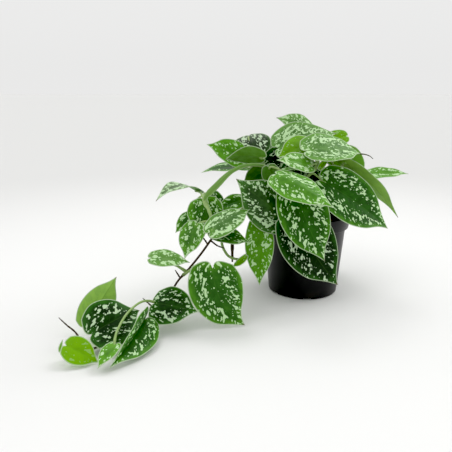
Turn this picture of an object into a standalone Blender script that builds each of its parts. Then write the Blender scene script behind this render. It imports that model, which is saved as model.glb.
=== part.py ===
"""A trailing philodendron with silver-splashed, heart-shaped leaves, growing in a black nursery pot.

The pot stands on its base, centred on the origin, with +Z up and -Y to the front. One long stem
hangs over the rim and lies along the surface to the front left.
Sizes and places are in millimetres. Each mesh is made in metres in its last step.
"""

import math
from collections import namedtuple

import bpy
import numpy as np
from mathutils.bvhtree import BVHTree

MM = 0.001

# The nursery pot
POT_HEIGHT = 88
POT_BASE_RADIUS = 37.5
POT_RIM_RADIUS = 50
POT_BAND_LOW = 72.5
POT_BAND_STEP = 3
POT_TAPER = math.tan(math.radians(4.9))
POT_WALL = 1.4
POT_FLOOR = 2.2
POT_FLOOR_RISE = 1.2
POT_FOOT_WIDTH = 7
POT_CENTRE_FOOT = 15
POT_SIDES = 40
DRAIN_HOLES = 6
DRAIN_RADIUS = 3
DRAIN_CIRCLE = 24
FOOT_NOTCH_WIDTH = 9
FOOT_NOTCH_HEIGHT = 1.6

# The soil
SOIL_LEVEL = 80
SOIL_GAP = 0.35
SOIL_BUMP = 1.6
SOIL_SIDES = 20
SOIL_RINGS = (0.3, 0.6, 0.86)
STEM_FOOT = 68
HOLE_EXTRA = 1
HOLE_GAP = 0.5

# The leaves and their stalks
BLADE_THICK = 0.8
BLADE_ROWS = (0.0, 0.2, 0.45, 0.73)
BLADE_COLUMNS = (-1.0, -0.5, 0.0, 0.5, 1.0)
WIDEST = 0.3
SHOULDER = 0.32
TIP_SHARPNESS = 1.15
LOBE = 0.1
LOBE_NARROW = 0.5
LEAF_GAP = 0.5
STALK_RADIUS = 1.15
STALK_SIDES = 4
STALK_SPANS = 4
STALK_SUNK = 2.5
STEM_SIDES = 5
STEM_SPANS = 2
ROOT_SIDES = 3

# Leaves that would touch are moved apart from front to back, along this direction, and then turned
# and tilted by one of these pairs of angles.
DEPTH = np.array((0.13, 0.955, -0.265))
DEPTH_SHIFTS = (0, 2, -2, 4, -4, 6, -6, 8, -8, 11, -11, 14, -14, 17)
TURNS = ((0, 0), (0, 10), (0, -10), (15, 0), (-15, 0), (0, 20),
         (0, -20), (15, 10), (-15, 10), (0, 32), (0, -32))
BEND_SIZES = (0, 4, 8, 12, 16, 20, 25, 31)
BEND_DIRECTIONS = 12

Leaf = namedtuple("Leaf", "along base tip face wide arch fold sway")
Vine = namedtuple("Vine", "name radius route leaves roots")
Root = namedtuple("Root", "radius route")


def unit(vector):
    """The same direction with length 1."""
    return vector / np.linalg.norm(vector)


def facing(azimuth, elevation):
    """A direction: azimuth 0 looks to the front (-Y) and 90 to the right (+X); elevation 90 looks up."""
    turn, rise = math.radians(azimuth), math.radians(elevation)
    return np.array((math.sin(turn) * math.cos(rise), -math.cos(turn) * math.cos(rise), math.sin(rise)))


def leaf(along, base, tip, face, wide=0.68, arch=0.06, fold=0.12, sway=0.0):
    """A leaf whose stalk leaves the stem at this share of its length.

    Base and tip are the blade's two ends and face is the way its upper side looks (azimuth, elevation).
    As shares of its length, wide is its width, arch how far its middle stands up and sway how far
    its midrib bows aside. Fold is the slope of its two halves.
    """
    return Leaf(along, np.array(base, float), np.array(tip, float), face, wide, arch, fold, sway)


# Stems run from the soil to their ends. The leaves and their places are those of the real plant.
VINES = [
    Vine(
        "vine_front",
        1.9,
        [(-6, -26, STEM_FOOT), (-7, -31, 90), (-11, -40, 108), (-16, -47, 122), (-22, -50, 133)],
        [
            leaf(0.97, (-37, -74, 139), (10, -98, 113), (-5, 68), 0.74, 0.05, -0.30),
            leaf(0.62, (-21, -68, 125), (10, -72, 54), (5, 15), 0.64, 0.05, 0.10, 0.03),
            leaf(0.30, (-19, -57, 94), (28, -54, 23), (10, 5), 0.66, 0.06, 0.10, 0.04),
            leaf(0.97, (-44, -42, 142), (-35, -46, 117), (180, 20), 0.72, 0.06, 0.10),
        ],
        [],
    ),
    Vine(
        "vine_front_left",
        1.8,
        [(-25, -20, STEM_FOOT), (-29, -25, 92), (-38, -34, 103), (-50, -40, 106), (-60, -43, 106)],
        [
            leaf(0.45, (-27, -58, 92), (-77, -62, 134), (-10, 20), 0.73, 0.05, -0.10),
            leaf(0.75, (-53, -52, 87), (-52, -54, 22), (0, 10), 0.46, 0.04, 0.22),
            leaf(0.98, (-69, -46, 110), (-96, -54, 100), (0, 50), 0.66, 0.06, 0.10),
        ],
        [],
    ),
    Vine(
        "vine_right_front",
        1.9,
        [(14, -22, STEM_FOOT), (11, -26, 95), (2, -32, 114), (-6, -36, 127), (3, -35, 139), (6, -34, 146)],
        [
            leaf(0.72, (12, -43, 127), (82, -30, 76), (12, 30), 0.62, 0.05, 0.10),
            leaf(0.97, (-5, -40, 158), (52, -18, 152), (-5, 58), 0.76, 0.09, 0.08),
            leaf(0.92, (-3, -45, 144), (-38, -60, 151), (-5, 42), 0.60, 0.05, 0.10),
            leaf(0.80, (2, -32, 139), (-37, -46, 140), (0, 88), 0.60, 0.04, 0.10),
            leaf(0.99, (7, -37, 139), (17, -36, 151), (-30, 20), 0.45, 0.05, 0.30),
        ],
        [],
    ),
    Vine(
        "vine_right",
        1.8,
        [(29, -5, STEM_FOOT), (31, -5, 95), (34, -4, 118), (37, -2, 136)],
        [
            leaf(0.97, (38, -10, 143), (100, -6, 82), (125, 45), 0.36, 0.05, 0.10),
            leaf(0.88, (35, 12, 150), (65, 6, 122), (170, 25), 0.84, 0.05, 0.10),
            leaf(0.75, (69, 15, 126), (111, 5, 128), (0, 64), 0.50, 0.04, 0.10),
            leaf(0.60, (46, 2, 116), (66, 8, 74), (80, 20), 0.74),
            leaf(0.45, (42, 20, 102), (60, 32, 66), (110, 15), 0.72),
            leaf(0.94, (46, 0, 144), (19, 2, 143), (0, 30), 0.64),
        ],
        [],
    ),
    Vine(
        "vine_top",
        1.8,
        [(4, 10, STEM_FOOT), (3, 12, 100), (0, 16, 125), (-4, 20, 140)],
        [
            leaf(0.97, (11, 50, 170), (-30, 38, 186), (0, 38), 0.66, 0.05, 0.08),
            leaf(0.90, (-29, 8, 156), (34, 20, 170), (-8, 48), 0.80, 0.07, 0.06),
            leaf(0.80, (-33, 26, 150), (24, 40, 168), (-15, 42), 0.76, 0.05, 0.06),
            leaf(0.95, (50, 44, 165), (17, 36, 158), (10, 30), 0.56, 0.05, 0.10),
            leaf(0.85, (2, -14, 161), (-35, -32, 150), (0, 40), 0.70, 0.06, 0.10),
            leaf(0.60, (-18, -8, 138), (-25, -8, 105), (0, 20), 0.80),
            leaf(0.55, (4, -8, 138), (12, -8, 104), (0, 20), 0.80),
            leaf(0.65, (-28, 6, 152), (-43, 4, 120), (0, 20), 0.80),
        ],
        [],
    ),
    Vine(
        "vine_left_top",
        1.7,
        [(-23, 3, STEM_FOOT), (-28, 1, 100), (-36, -2, 122), (-45, -6, 138), (-52, -8, 146)],
        [
            leaf(0.97, (-66, 2, 145), (-106, -10, 161), (-10, 34), 0.68, 0.06, 0.10),
            leaf(0.50, (-60, 32, 167), (-50, 5, 134), (-5, 38), 0.96, 0.20, -0.22),
            leaf(0.80, (-50, -31, 150), (-87, -44, 149), (180, 38), 0.62, 0.12, 0.10),
            leaf(0.70, (-46, -18, 135), (-70, -34, 121), (200, 20), 0.74, 0.06, 0.10),
            leaf(0.75, (-66, -2, 136), (-112, -16, 133), (0, 80), 0.60, 0.06, 0.08),
            leaf(0.60, (-48, 12, 122), (-64, 26, 82), (-100, 20), 0.74),
            leaf(0.45, (-40, 24, 104), (-56, 44, 68), (-120, 20), 0.74),
        ],
        [],
    ),
    Vine(
        "vine_arching",
        2.0,
        [
            (-32, -9, STEM_FOOT),
            (-35, -12, 105),
            (-39, -21, 130),
            (-47, -33, 141),
            (-64, -45, 144),
            (-80, -54, 139),
            (-94, -60, 127),
            (-106, -66, 114),
            (-102, -69, 104),
            (-98, -71, 92),
        ],
        [
            leaf(0.83, (-108, -55, 111), (-100, -61, 78), (-15, 30), 1.06, 0.06, 0.12),
            leaf(0.83, (-101, -44, 115), (-93, -46, 86), (10, 30), 0.74, 0.06, 0.12),
            leaf(0.95, (-98, -78, 86), (-61, -52, 101), (-20, 50), 0.62, 0.08, -0.12),
            leaf(0.99, (-114, -66, 90), (-125, -82, 60), (-25, 25), 0.76, 0.05, 0.10),
            leaf(0.90, (-120, -50, 95), (-136, -54, 78), (-30, 20), 0.72, 0.05, 0.10),
            leaf(0.80, (-116, -26, 116), (-153, -64, 112), (-20, 80), 0.52, 0.18, 0.10),
        ],
        [Root(0.6, [(-98, -70, 96), (-88, -70, 100), (-80, -69, 98)])],
    ),
    Vine(
        "vine_trailing",
        1.5,
        [
            (-36, -3, STEM_FOOT),
            (-42, -8, 92),
            (-53, -18, 97),
            (-66, -34, 93),
            (-82, -54, 86),
            (-95, -68, 81),
            (-100, -75, 77),
            (-108, -82, 67),
            (-120, -88, 53),
            (-132, -88, 39),
            (-141, -88, 22),
            (-150, -93, 7),
            (-160, -106, 3.5),
            (-176, -128, 3.5),
            (-192, -146, 3.5),
            (-203, -160, 3.5),
        ],
        [
            leaf(0.34, (-98, -68, 82), (-61, -60, 70), (0, 65), 0.70, 0.05, 0.10),
            leaf(0.55, (-154, -98, 66), (-119, -93, 60), (-10, 58), 0.58, 0.06, 0.08),
            leaf(0.57, (-98, -105, 58), (-68, -104, 2), (5, 8), 0.77, 0.04, 0.06, 0.12),
            leaf(0.66, (-151, -98, 22), (-110, -113, 20), (-12, 50), 0.92, 0.05, -0.06),
            leaf(0.93, (-158, -118, 15), (-176, -184, 4), (50, 20), 0.56, 0.04, 0.9),
            leaf(0.90, (-198, -150, 16), (-163, -120, 24), (-12, 36), 1.02, 0.10, 0.10),
            leaf(0.94, (-211, -120, 11), (-185, -106, 51), (180, 10), 0.60, 0.05, 0.10),
            leaf(0.99, (-213, -168, 15), (-188, -168, 0), (-10, 50), 0.80, 0.06, 0.10),
            leaf(0.69, (-175, -169, 16), (-185, -190, 6), (-20, 70), 0.60, 0.05, 0.05),
            leaf(0.97, (-220, -170, 10), (-218, -166, 19), (-20, 30), 0.34, 0.05, 0.30),
        ],
        [
            Root(0.6, [(-103, -78, 73), (-107, -75, 78), (-110, -74, 80)]),
            Root(0.6, [(-100, -76, 76), (-94, -75, 71), (-87, -74, 68)]),
            Root(0.6, [(-129, -88, 43), (-132, -86, 47), (-134, -85, 50)]),
            Root(0.6, [(-149, -92, 9), (-158, -96, 20), (-164, -96, 26)]),
            Root(0.6, [(-143, -89, 20), (-134, -92, 10), (-126, -95, 4)]),
            Root(0.6, [(-202, -159, 4), (-213, -146, 14), (-222, -142, 20), (-229, -140, 26)]),
        ],
    ),
    Vine(
        "vine_hanging",
        1.7,
        [
            (-28, 17, STEM_FOOT),
            (-36, 20, 92),
            (-50, 20, 98),
            (-64, 6, 93),
            (-76, -14, 85),
            (-86, -38, 77),
            (-90, -52, 68),
            (-86, -56, 58),
            (-80, -57, 53),
            (-69, -58, 51),
        ],
        [leaf(0.97, (-66, -60, 56), (-80, -56, 43), (40, 30), 0.40, 0.10, 0.40)],
        [Root(2.1, [(-78, -20, 82), (-79, -19, 60), (-79, -18, 36)])],
    ),
]

# The far side's vines. A leaf's row is its place along the stem, its base as an angle from +X towards
# the back, a radius and a height, then how far it heads aside, how steeply it drops, and its length.
BACK_EXIT = 30
BACK_VINES = (
    # angle, radius and height of the stem's end, leaves
    (34, 42, 124, (
        (0.97, 40, 44, 138, 10, 30, 46),
        (0.85, 26, 42, 124, 40, 48, 46),
        (0.72, 48, 46, 114, -2, 62, 50),
        (0.60, 60, 40, 130, 20, 25, 44),
    )),
    (80, 60, 82, (
        (0.97, 84, 64, 84, 5, 78, 62),
        (0.85, 62, 56, 92, 10, 70, 56),
        (0.72, 98, 58, 96, -5, 66, 58),
        (0.60, 74, 48, 106, -6, 45, 56),
        (0.45, 108, 46, 108, 6, 52, 54),
    )),
    (106, 44, 136, (
        (0.98, 100, 44, 152, -30, 12, 52),
        (0.90, 122, 42, 148, -20, 25, 48),
        (0.80, 88, 44, 136, -10, 38, 50),
        (0.65, 150, 38, 134, 0, 30, 40),
        (0.55, 70, 42, 142, -20, 14, 46),
    )),
    (140, 56, 88, (
        (0.97, 132, 58, 90, 0, 72, 52),
        (0.80, 116, 54, 96, 8, 72, 46),
        (0.55, 140, 42, 118, 0, 42, 44),
    )),
)


def back_vine(number, angle, reach, height, rows):
    """A stem on the far side, whose leaves face outwards and up."""

    def place(turn, radius, level):
        turn = math.radians(turn)
        return np.array((radius * math.cos(turn), radius * math.sin(turn), level))

    route = [
        place(angle, BACK_EXIT, STEM_FOOT),
        place(angle, BACK_EXIT * 1.05, 92),
        place(angle, (BACK_EXIT + reach) / 2, (104 + height) / 2),
        place(angle, reach, height),
    ]
    leaves = []
    for along, turn, radius, level, aside, drop, length in rows:
        base = place(turn, radius, level)
        fall = math.radians(drop)
        tip = base + place(turn + aside, length * math.cos(fall), -length * math.sin(fall))
        leaves.append(leaf(along, base, tip, (turn + aside + 90, 90 - drop), 0.72))
    return Vine(f"vine_back_{number}", 1.8, route, leaves, [])


def all_vines():
    """Every leafy stem of the plant, the seen ones first."""
    return VINES + [back_vine(number, *row) for number, row in enumerate(BACK_VINES, 1)]


def blade_points(leaf, along, across):
    """Points of a blade's middle surface: along runs from stalk (0) to tip (1), across from -1 to 1."""
    length = np.linalg.norm(leaf.tip - leaf.base)
    axis = (leaf.tip - leaf.base) / length
    face = facing(*leaf.face)
    normal = unit(face - face.dot(axis) * axis)
    side = np.cross(axis, normal)
    before = np.clip((WIDEST - along) / WIDEST, 0, 1)
    after = np.clip((along - WIDEST) / (1 - WIDEST), 0, 1)
    outline = (1 - SHOULDER * before**2) * (1 - after**2) ** TIP_SHARPNESS
    lobes = np.sin(0.85 * math.pi * np.abs(across) ** LOBE_NARROW) * (1 - along) ** 3
    x = 0.5 * leaf.wide * length * outline * across
    y = length * (along - LOBE * lobes)
    share = y / length
    bow = 4 * length * share * (1 - share)
    z = leaf.arch * bow + leaf.fold * np.abs(x) * (1 - 0.3 * np.abs(across))
    x = x / math.hypot(1, leaf.fold)
    y = y - 4 * leaf.sway * (1 - 2 * share) * x
    x = x + leaf.sway * bow
    return leaf.base + np.outer(y, axis) + np.outer(x, side) + np.outer(z, normal)


def vertex_normals(points, triangles):
    """Smooth normals of a surface."""
    corners = points[triangles]
    faces = np.cross(corners[:, 1] - corners[:, 0], corners[:, 2] - corners[:, 0])
    normals = np.zeros_like(points)
    for corner in range(3):
        np.add.at(normals, triangles[:, corner], faces)
    return normals / np.linalg.norm(normals, axis=1)[:, None]


def blade_solid(leaf, thick):
    """A closed blade of this thickness, with both faces split into triangles alike."""
    columns = len(BLADE_COLUMNS)
    rows = len(BLADE_ROWS)
    along = np.append(np.repeat(BLADE_ROWS, columns), 1.0)
    across = np.append(np.tile(BLADE_COLUMNS, rows), 0.0)
    middle = blade_points(leaf, along, across)
    triangles = []
    for row in range(rows - 1):
        for column in range(columns - 1):
            a = row * columns + column
            b, c, d = a + 1, a + columns, a + columns + 1
            if column < columns // 2:
                triangles += [(a, b, d), (a, d, c)]
            else:
                triangles += [(a, b, c), (b, d, c)]
    last = (rows - 1) * columns
    point = rows * columns
    triangles += [(last + column, last + column + 1, point) for column in range(columns - 1)]
    triangles = np.array(triangles)
    offset = vertex_normals(middle, triangles) * thick / 2
    count = len(middle)
    right = [row * columns + columns - 1 for row in range(rows)]
    left = [row * columns for row in range(rows - 1, 0, -1)]
    border = list(range(columns - 1)) + right + [point] + left
    faces = [tuple(face) for face in triangles] + [tuple(face[::-1] + count) for face in triangles]
    for a, b in zip(border, border[1:] + border[:1]):
        faces += [(b, a, a + count), (b, a + count, b + count)]
    return np.concatenate((middle + offset, middle - offset)), faces


def smooth_route(points, spans):
    """A smooth curve through the points, as a row of points with this many spans between each two."""
    points = np.array(points, float)
    ends = np.concatenate(([2 * points[0] - points[1]], points, [2 * points[-1] - points[-2]]))
    route = []
    for a, b, c, d in zip(ends, ends[1:], ends[2:], ends[3:]):
        for step in range(spans):
            t = step / spans
            square, cube = 2 * a - 5 * b + 4 * c - d, 3 * b - a - 3 * c + d
            route.append(0.5 * (2 * b + (c - a) * t + square * t**2 + cube * t**3))
    return np.array(route + [points[-1]])


def tube_solid(route, radii, sides):
    """A closed tube along the route, with flat ends."""
    tangents = np.gradient(route, axis=0)
    across = np.cross(tangents[0], (0.3, 0.2, 0.9))
    rings = []
    for point, tangent, radius in zip(route, tangents, radii):
        tangent = unit(tangent)
        across = unit(across - across.dot(tangent) * tangent)
        other = np.cross(tangent, across)
        for k in range(sides):
            turn = 2 * math.pi * k / sides
            rings.append(point + radius * (math.cos(turn) * across + math.sin(turn) * other))
    faces = [tuple(range(sides - 1, -1, -1))]
    for ring in range(len(route) - 1):
        for k in range(sides):
            a, b = ring * sides + k, ring * sides + (k + 1) % sides
            faces.append((a, b, b + sides, a + sides))
    last = (len(route) - 1) * sides
    faces.append(tuple(range(last, last + sides)))
    return np.array(rings), faces


class Shape:
    """A closed surface that can be tested against another for contact."""

    def __init__(self, solid):
        self.points, self.faces = solid
        self.low, self.high = self.points.min(axis=0), self.points.max(axis=0)
        self.tree = BVHTree.FromPolygons(self.points.tolist(), self.faces)

    def touches(self, other):
        if (self.low > other.high).any() or (other.low > self.high).any():
            return False
        return bool(self.tree.overlap(other.tree))


def is_clear(solid, others):
    """Whether a solid touches none of the others, the pot or the floor."""
    shape = Shape(solid)
    return shape.low[2] > 0.3 and not any(shape.touches(other) for other in others)


def tapered(first, last, count):
    """Radii that narrow evenly."""
    return np.linspace(first, last, count)


def stem_solid(vine, extra=0.0):
    route = smooth_route(vine.route, STEM_SPANS)
    return tube_solid(route, tapered(vine.radius, vine.radius * 0.7, len(route)) + extra, STEM_SIDES)


def root_solid(root, extra=0.0):
    route = smooth_route(root.route, 1)
    return tube_solid(route, tapered(root.radius + 0.2, root.radius * 0.7, len(route)) + extra, ROOT_SIDES)


def placed_leaf(leaf, others):
    """The leaf, moved a little in depth or tilted until it is clear of the others."""
    for turn, tilt in TURNS:
        for shift in DEPTH_SHIFTS:
            moved = leaf._replace(
                base=leaf.base + DEPTH * shift,
                tip=leaf.tip + DEPTH * shift,
                face=(leaf.face[0] + turn, leaf.face[1] + tilt),
            )
            if is_clear(blade_solid(moved, BLADE_THICK + 2 * LEAF_GAP), others):
                return moved
    print("no clear place for the leaf at", leaf.base)
    return leaf


def stalk_route(start, leaf, bend):
    """A curve from the stem to the blade, bent aside by a vector at its middle."""
    length = np.linalg.norm(leaf.tip - leaf.base)
    axis = (leaf.tip - leaf.base) / length
    face = facing(*leaf.face)
    normal = unit(face - face.dot(axis) * axis)
    end = leaf.base + axis * STALK_SUNK
    gap = np.linalg.norm(end - start)
    first = start + (end - start) * 0.3 + np.array((0, 0, 0.18 * gap)) + bend
    second = leaf.base - axis * min(6, 0.2 * gap) - normal * min(4, 0.15 * gap) + bend * 0.5
    steps = np.linspace(0, 1, STALK_SPANS + 1)[:, None]
    rest = 1 - steps
    return rest**3 * start + 3 * rest**2 * steps * first + 3 * rest * steps**2 * second + steps**3 * end


def stalk_solid(route, extra=0.0):
    radii = tapered(STALK_RADIUS * 1.15, STALK_RADIUS * 0.85, len(route))
    return tube_solid(route, radii + extra, STALK_SIDES)


def placed_stalk(start, leaf, others):
    """The straightest stalk that is clear of the others, and whether it is."""
    end = leaf.base
    across = unit(np.cross(end - start + (0, 0, 1e-6), (0.2, 0.1, 1.0)))
    other = unit(np.cross(end - start, across))
    for size in BEND_SIZES:
        for k in range(BEND_DIRECTIONS if size else 1):
            turn = 2 * math.pi * k / BEND_DIRECTIONS
            bend = size * (math.cos(turn) * across + math.sin(turn) * other)
            route = stalk_route(start, leaf, bend)
            if is_clear(stalk_solid(route, LEAF_GAP), others):
                return route, True
    return stalk_route(start, leaf, np.zeros(3)), False


def plant_layout(vines):
    """Clear places for every leaf and stalk: rows of (vine, [(leaf, stalk route), ...])."""
    pot = Shape(pot_hull())
    stems = {}
    for vine in vines:
        stems[vine.name] = [Shape(stem_solid(vine))] + [Shape(root_solid(root)) for root in vine.roots]
    blades = []
    for vine in vines:
        for row in vine.leaves:
            others = [pot] + [shape for group in stems.values() for shape in group]
            others += [shape for _, _, shape in blades]
            moved = placed_leaf(row, others)
            blades.append((vine.name, moved, Shape(blade_solid(moved, BLADE_THICK))))
    stalks = []
    layout = []
    for vine in vines:
        route = smooth_route(vine.route, 8)
        grown = []
        for name, row, own in blades:
            if name != vine.name:
                continue
            start = route[round(row.along * (len(route) - 1))]
            others = [pot] + [shape for other, group in stems.items() if other != name for shape in group]
            others += [shape for _, _, shape in blades if shape is not own]
            others += [shape for other, shape in stalks if other != name]
            path, clear = placed_stalk(start, row, others)
            if not clear:
                print("no clear way for the stalk of the leaf at", row.base, "on", name)
            stalks.append((name, Shape(stalk_solid(path))))
            grown.append((row, path))
        layout.append((vine, grown))
    return layout


def pot_profile():
    """The pot's cut from the middle of its floor, out and up its outer side, and back down inside."""
    band_wall = POT_BASE_RADIUS + POT_BAND_LOW * POT_TAPER
    band_foot = band_wall + POT_BAND_STEP
    inner_floor = POT_FLOOR + POT_FLOOR_RISE
    foot_inner = POT_BASE_RADIUS - POT_FOOT_WIDTH
    return [
        (0, 0),
        (POT_CENTRE_FOOT, 0),
        (POT_CENTRE_FOOT + 1, POT_FLOOR_RISE),
        (foot_inner - 1, POT_FLOOR_RISE),
        (foot_inner, 0),
        (POT_BASE_RADIUS - 1, 0),
        (POT_BASE_RADIUS, 1),
        (band_wall, POT_BAND_LOW),
        (band_foot, POT_BAND_LOW + 0.6),
        (POT_RIM_RADIUS - 0.4, POT_HEIGHT - 1),
        (POT_RIM_RADIUS - 0.8, POT_HEIGHT),
        (POT_RIM_RADIUS - POT_WALL, POT_HEIGHT),
        (band_foot - POT_WALL, POT_BAND_LOW + 2),
        (band_wall - POT_WALL, POT_BAND_LOW + 1),
        (POT_BASE_RADIUS - POT_WALL + inner_floor * POT_TAPER, inner_floor),
        (0, inner_floor),
    ]


def turned_solid(profile, sides):
    """A solid turned about Z from a profile that starts and ends on the axis."""
    rim = profile[1:-1]
    points = [(0, 0, profile[0][1]), (0, 0, profile[-1][1])]
    for k in range(sides):
        turn = 2 * math.pi * k / sides
        points += [(radius * math.cos(turn), radius * math.sin(turn), height) for radius, height in rim]
    faces = []
    step = len(rim)
    for k in range(sides):
        here, there = 2 + k * step, 2 + (k + 1) % sides * step
        faces.append((0, there, here))
        faces.append((1, here + step - 1, there + step - 1))
        faces += [(here + i, there + i, there + i + 1, here + i + 1) for i in range(step - 1)]
    return np.array(points, float), faces


def pot_hull():
    """The space that the pot fills, which leaves stay clear of."""
    outer = [(radius + 0.3, height) for radius, height in pot_profile()[5:11]]
    return turned_solid([(0, 0)] + outer + [(0, POT_HEIGHT - 5)], 32)


def material(name, colour, roughness):
    """A plain finish for a piece."""
    finish = bpy.data.materials.new(name)
    finish.use_nodes = True
    shader = finish.node_tree.nodes["Principled BSDF"]
    shader.inputs["Base Color"].default_value = (*colour, 1)
    shader.inputs["Roughness"].default_value = roughness
    finish.diffuse_color = (*colour, 1)
    return finish


def mesh_object(name, solid, finish=None):
    """An object in metres from points and faces in millimetres."""
    points, faces = solid
    mesh = bpy.data.meshes.new(name)
    mesh.from_pydata((points * MM).tolist(), [], [[int(i) for i in face] for face in faces])
    mesh.update()
    made = bpy.data.objects.new(name, mesh)
    bpy.context.collection.objects.link(made)
    if finish:
        mesh.materials.append(finish)
    return made


def combine(target, others, operation, solver="MANIFOLD"):
    """Joins or cuts the target with the others in one Boolean, applies it and removes the others."""
    helpers = bpy.data.collections.new("helpers")
    bpy.context.scene.collection.children.link(helpers)
    for other in others:
        bpy.context.collection.objects.unlink(other)
        helpers.objects.link(other)
    boolean = target.modifiers.new("Boolean", "BOOLEAN")
    boolean.operation = operation
    boolean.solver = solver
    boolean.operand_type = "COLLECTION"
    boolean.collection = helpers
    graph = bpy.context.evaluated_depsgraph_get()
    result = bpy.data.meshes.new_from_object(target.evaluated_get(graph))
    target.modifiers.remove(boolean)
    old = target.data
    target.data = result
    bpy.data.meshes.remove(old)
    for other in others:
        mesh = other.data
        bpy.data.objects.remove(other)
        bpy.data.meshes.remove(mesh)
    bpy.data.collections.remove(helpers)


def make_pot(finish):
    pot = mesh_object("pot", turned_solid(pot_profile(), POT_SIDES), finish)
    cutters = []
    for k in range(DRAIN_HOLES):
        turn = 2 * math.pi * (k + 0.5) / DRAIN_HOLES
        centre = np.array((DRAIN_CIRCLE * math.cos(turn), DRAIN_CIRCLE * math.sin(turn), 0))
        route = np.array((centre + (0, 0, -2), centre + (0, 0, POT_FLOOR + POT_FLOOR_RISE + 2)))
        cutters.append(mesh_object("drain", tube_solid(route, (DRAIN_RADIUS, DRAIN_RADIUS), 10)))
        out = centre / DRAIN_CIRCLE
        across = np.array((-out[1], out[0], 0)) * FOOT_NOTCH_WIDTH / 2
        near, far = out * (POT_BASE_RADIUS - POT_FOOT_WIDTH - 2), out * (POT_BASE_RADIUS + 2)
        floor, top = np.array((0, 0, -1)), np.array((0, 0, FOOT_NOTCH_HEIGHT))
        ends = [end + level for level in (floor, top) for end in (near, far)]
        corners = [end + way * across for end in ends for way in (-1, 1)]
        box = [(0, 1, 3, 2), (4, 6, 7, 5), (0, 4, 5, 1), (2, 3, 7, 6), (0, 2, 6, 4), (1, 5, 7, 3)]
        cutters.append(mesh_object("notch", (np.array(corners), box)))
    combine(pot, cutters, "DIFFERENCE")
    return pot


def soil_height(x, y):
    """The soil's top, a little lumpy."""
    lumps = math.sin(0.31 * x + 1.3) * math.cos(0.27 * y - 0.4) + 0.6 * math.sin(0.53 * x - 0.41 * y + 2.0)
    return SOIL_LEVEL + SOIL_BUMP * lumps


def make_soil(vines, finish):
    bottom = POT_FLOOR + POT_FLOOR_RISE + SOIL_GAP
    inner = [
        (POT_BASE_RADIUS - POT_WALL + bottom * POT_TAPER - SOIL_GAP, bottom),
        (POT_BASE_RADIUS - POT_WALL + 70 * POT_TAPER - SOIL_GAP - 0.3, 70),
    ]
    edge = inner[1][0]
    profile = [(0, bottom), *inner, (edge, 77)]
    profile += [(edge * share, 78) for share in reversed(SOIL_RINGS)] + [(0, 78)]
    points, faces = turned_solid(profile, SOIL_SIDES)
    for point in points:
        if point[2] >= 77:
            point[2] = soil_height(point[0], point[1]) - (1.2 if point[2] < 78 else 0)
    soil = mesh_object("soil", (points, faces), finish)
    holes = []
    for vine in vines:
        route = smooth_route(vine.route, STEM_SPANS)[: STEM_SPANS + 1]
        route[0] -= unit(route[1] - route[0]) * HOLE_EXTRA
        radii = [vine.radius + HOLE_GAP] * len(route)
        holes.append(mesh_object("hole", tube_solid(route, radii, 8)))
    combine(soil, holes, "DIFFERENCE")
    return soil


def make_vine(vine, grown, finish):
    """A leafy stem: its stem, stalks, blades and air roots, joined in one body."""
    stem = mesh_object(vine.name, stem_solid(vine), finish)
    pieces = [mesh_object("root", root_solid(root)) for root in vine.roots]
    for row, path in grown:
        pieces.append(mesh_object("stalk", stalk_solid(path)))
        pieces.append(mesh_object("blade", blade_solid(row, BLADE_THICK)))
    combine(stem, pieces, "UNION")
    return stem


def clear_scene():
    for old in list(bpy.data.objects):
        bpy.data.objects.remove(old)


def main():
    clear_scene()
    black = material("black plastic", (0.012, 0.012, 0.013), 0.42)
    earth = material("potting soil", (0.045, 0.03, 0.02), 0.95)
    green = material("leaf green", (0.06, 0.17, 0.03), 0.4)
    vines = all_vines()
    make_pot(black)
    make_soil(vines, earth)
    for vine, grown in plant_layout(vines):
        make_vine(vine, grown, green)


main()
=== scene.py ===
"""Dresses the trailing philodendron: a black nursery pot, soil, and leafy stems with silver-splashed leaves.

The leaves, stalks and stems stand where the part's own layout puts them, so its sizes, rows and
layout functions are repeated here. Sizes are in millimetres until a mesh is made, in metres.
"""

import math
from collections import namedtuple

import bpy
import numpy as np
from mathutils.bvhtree import BVHTree
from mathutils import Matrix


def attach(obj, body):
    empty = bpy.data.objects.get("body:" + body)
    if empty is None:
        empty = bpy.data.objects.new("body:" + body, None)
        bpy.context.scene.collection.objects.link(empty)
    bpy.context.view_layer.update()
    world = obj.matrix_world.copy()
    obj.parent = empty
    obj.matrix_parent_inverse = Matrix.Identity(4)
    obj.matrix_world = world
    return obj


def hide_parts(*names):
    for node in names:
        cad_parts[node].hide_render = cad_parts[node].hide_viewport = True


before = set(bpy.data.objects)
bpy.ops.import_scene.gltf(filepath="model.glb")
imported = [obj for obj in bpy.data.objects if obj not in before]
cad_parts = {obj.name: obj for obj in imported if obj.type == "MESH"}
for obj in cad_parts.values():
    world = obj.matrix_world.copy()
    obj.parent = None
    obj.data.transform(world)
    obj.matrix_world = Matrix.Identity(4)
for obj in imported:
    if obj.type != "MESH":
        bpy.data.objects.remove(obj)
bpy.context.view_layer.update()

MM = 0.001

# The nursery pot
POT_HEIGHT = 88
POT_BASE_RADIUS = 37.5
POT_RIM_RADIUS = 50
POT_BAND_LOW = 72.5
POT_BAND_STEP = 3
POT_TAPER = math.tan(math.radians(4.9))
POT_WALL = 1.4
POT_FLOOR = 2.2
POT_FLOOR_RISE = 1.2
POT_FOOT_WIDTH = 7
POT_CENTRE_FOOT = 15
HULL_GAP = 0.3
HULL_SUNK = 5
HULL_SIDES = 32
DRAIN_HOLES = 6
DRAIN_RADIUS = 3
DRAIN_CIRCLE = 24
DRAIN_SIDES = 40
FOOT_NOTCH_WIDTH = 9
FOOT_NOTCH_HEIGHT = 1.6

# The soil
SOIL_LEVEL = 80
SOIL_GAP = 0.35
SOIL_BUMP = 1.6
STEM_FOOT = 68

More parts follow.
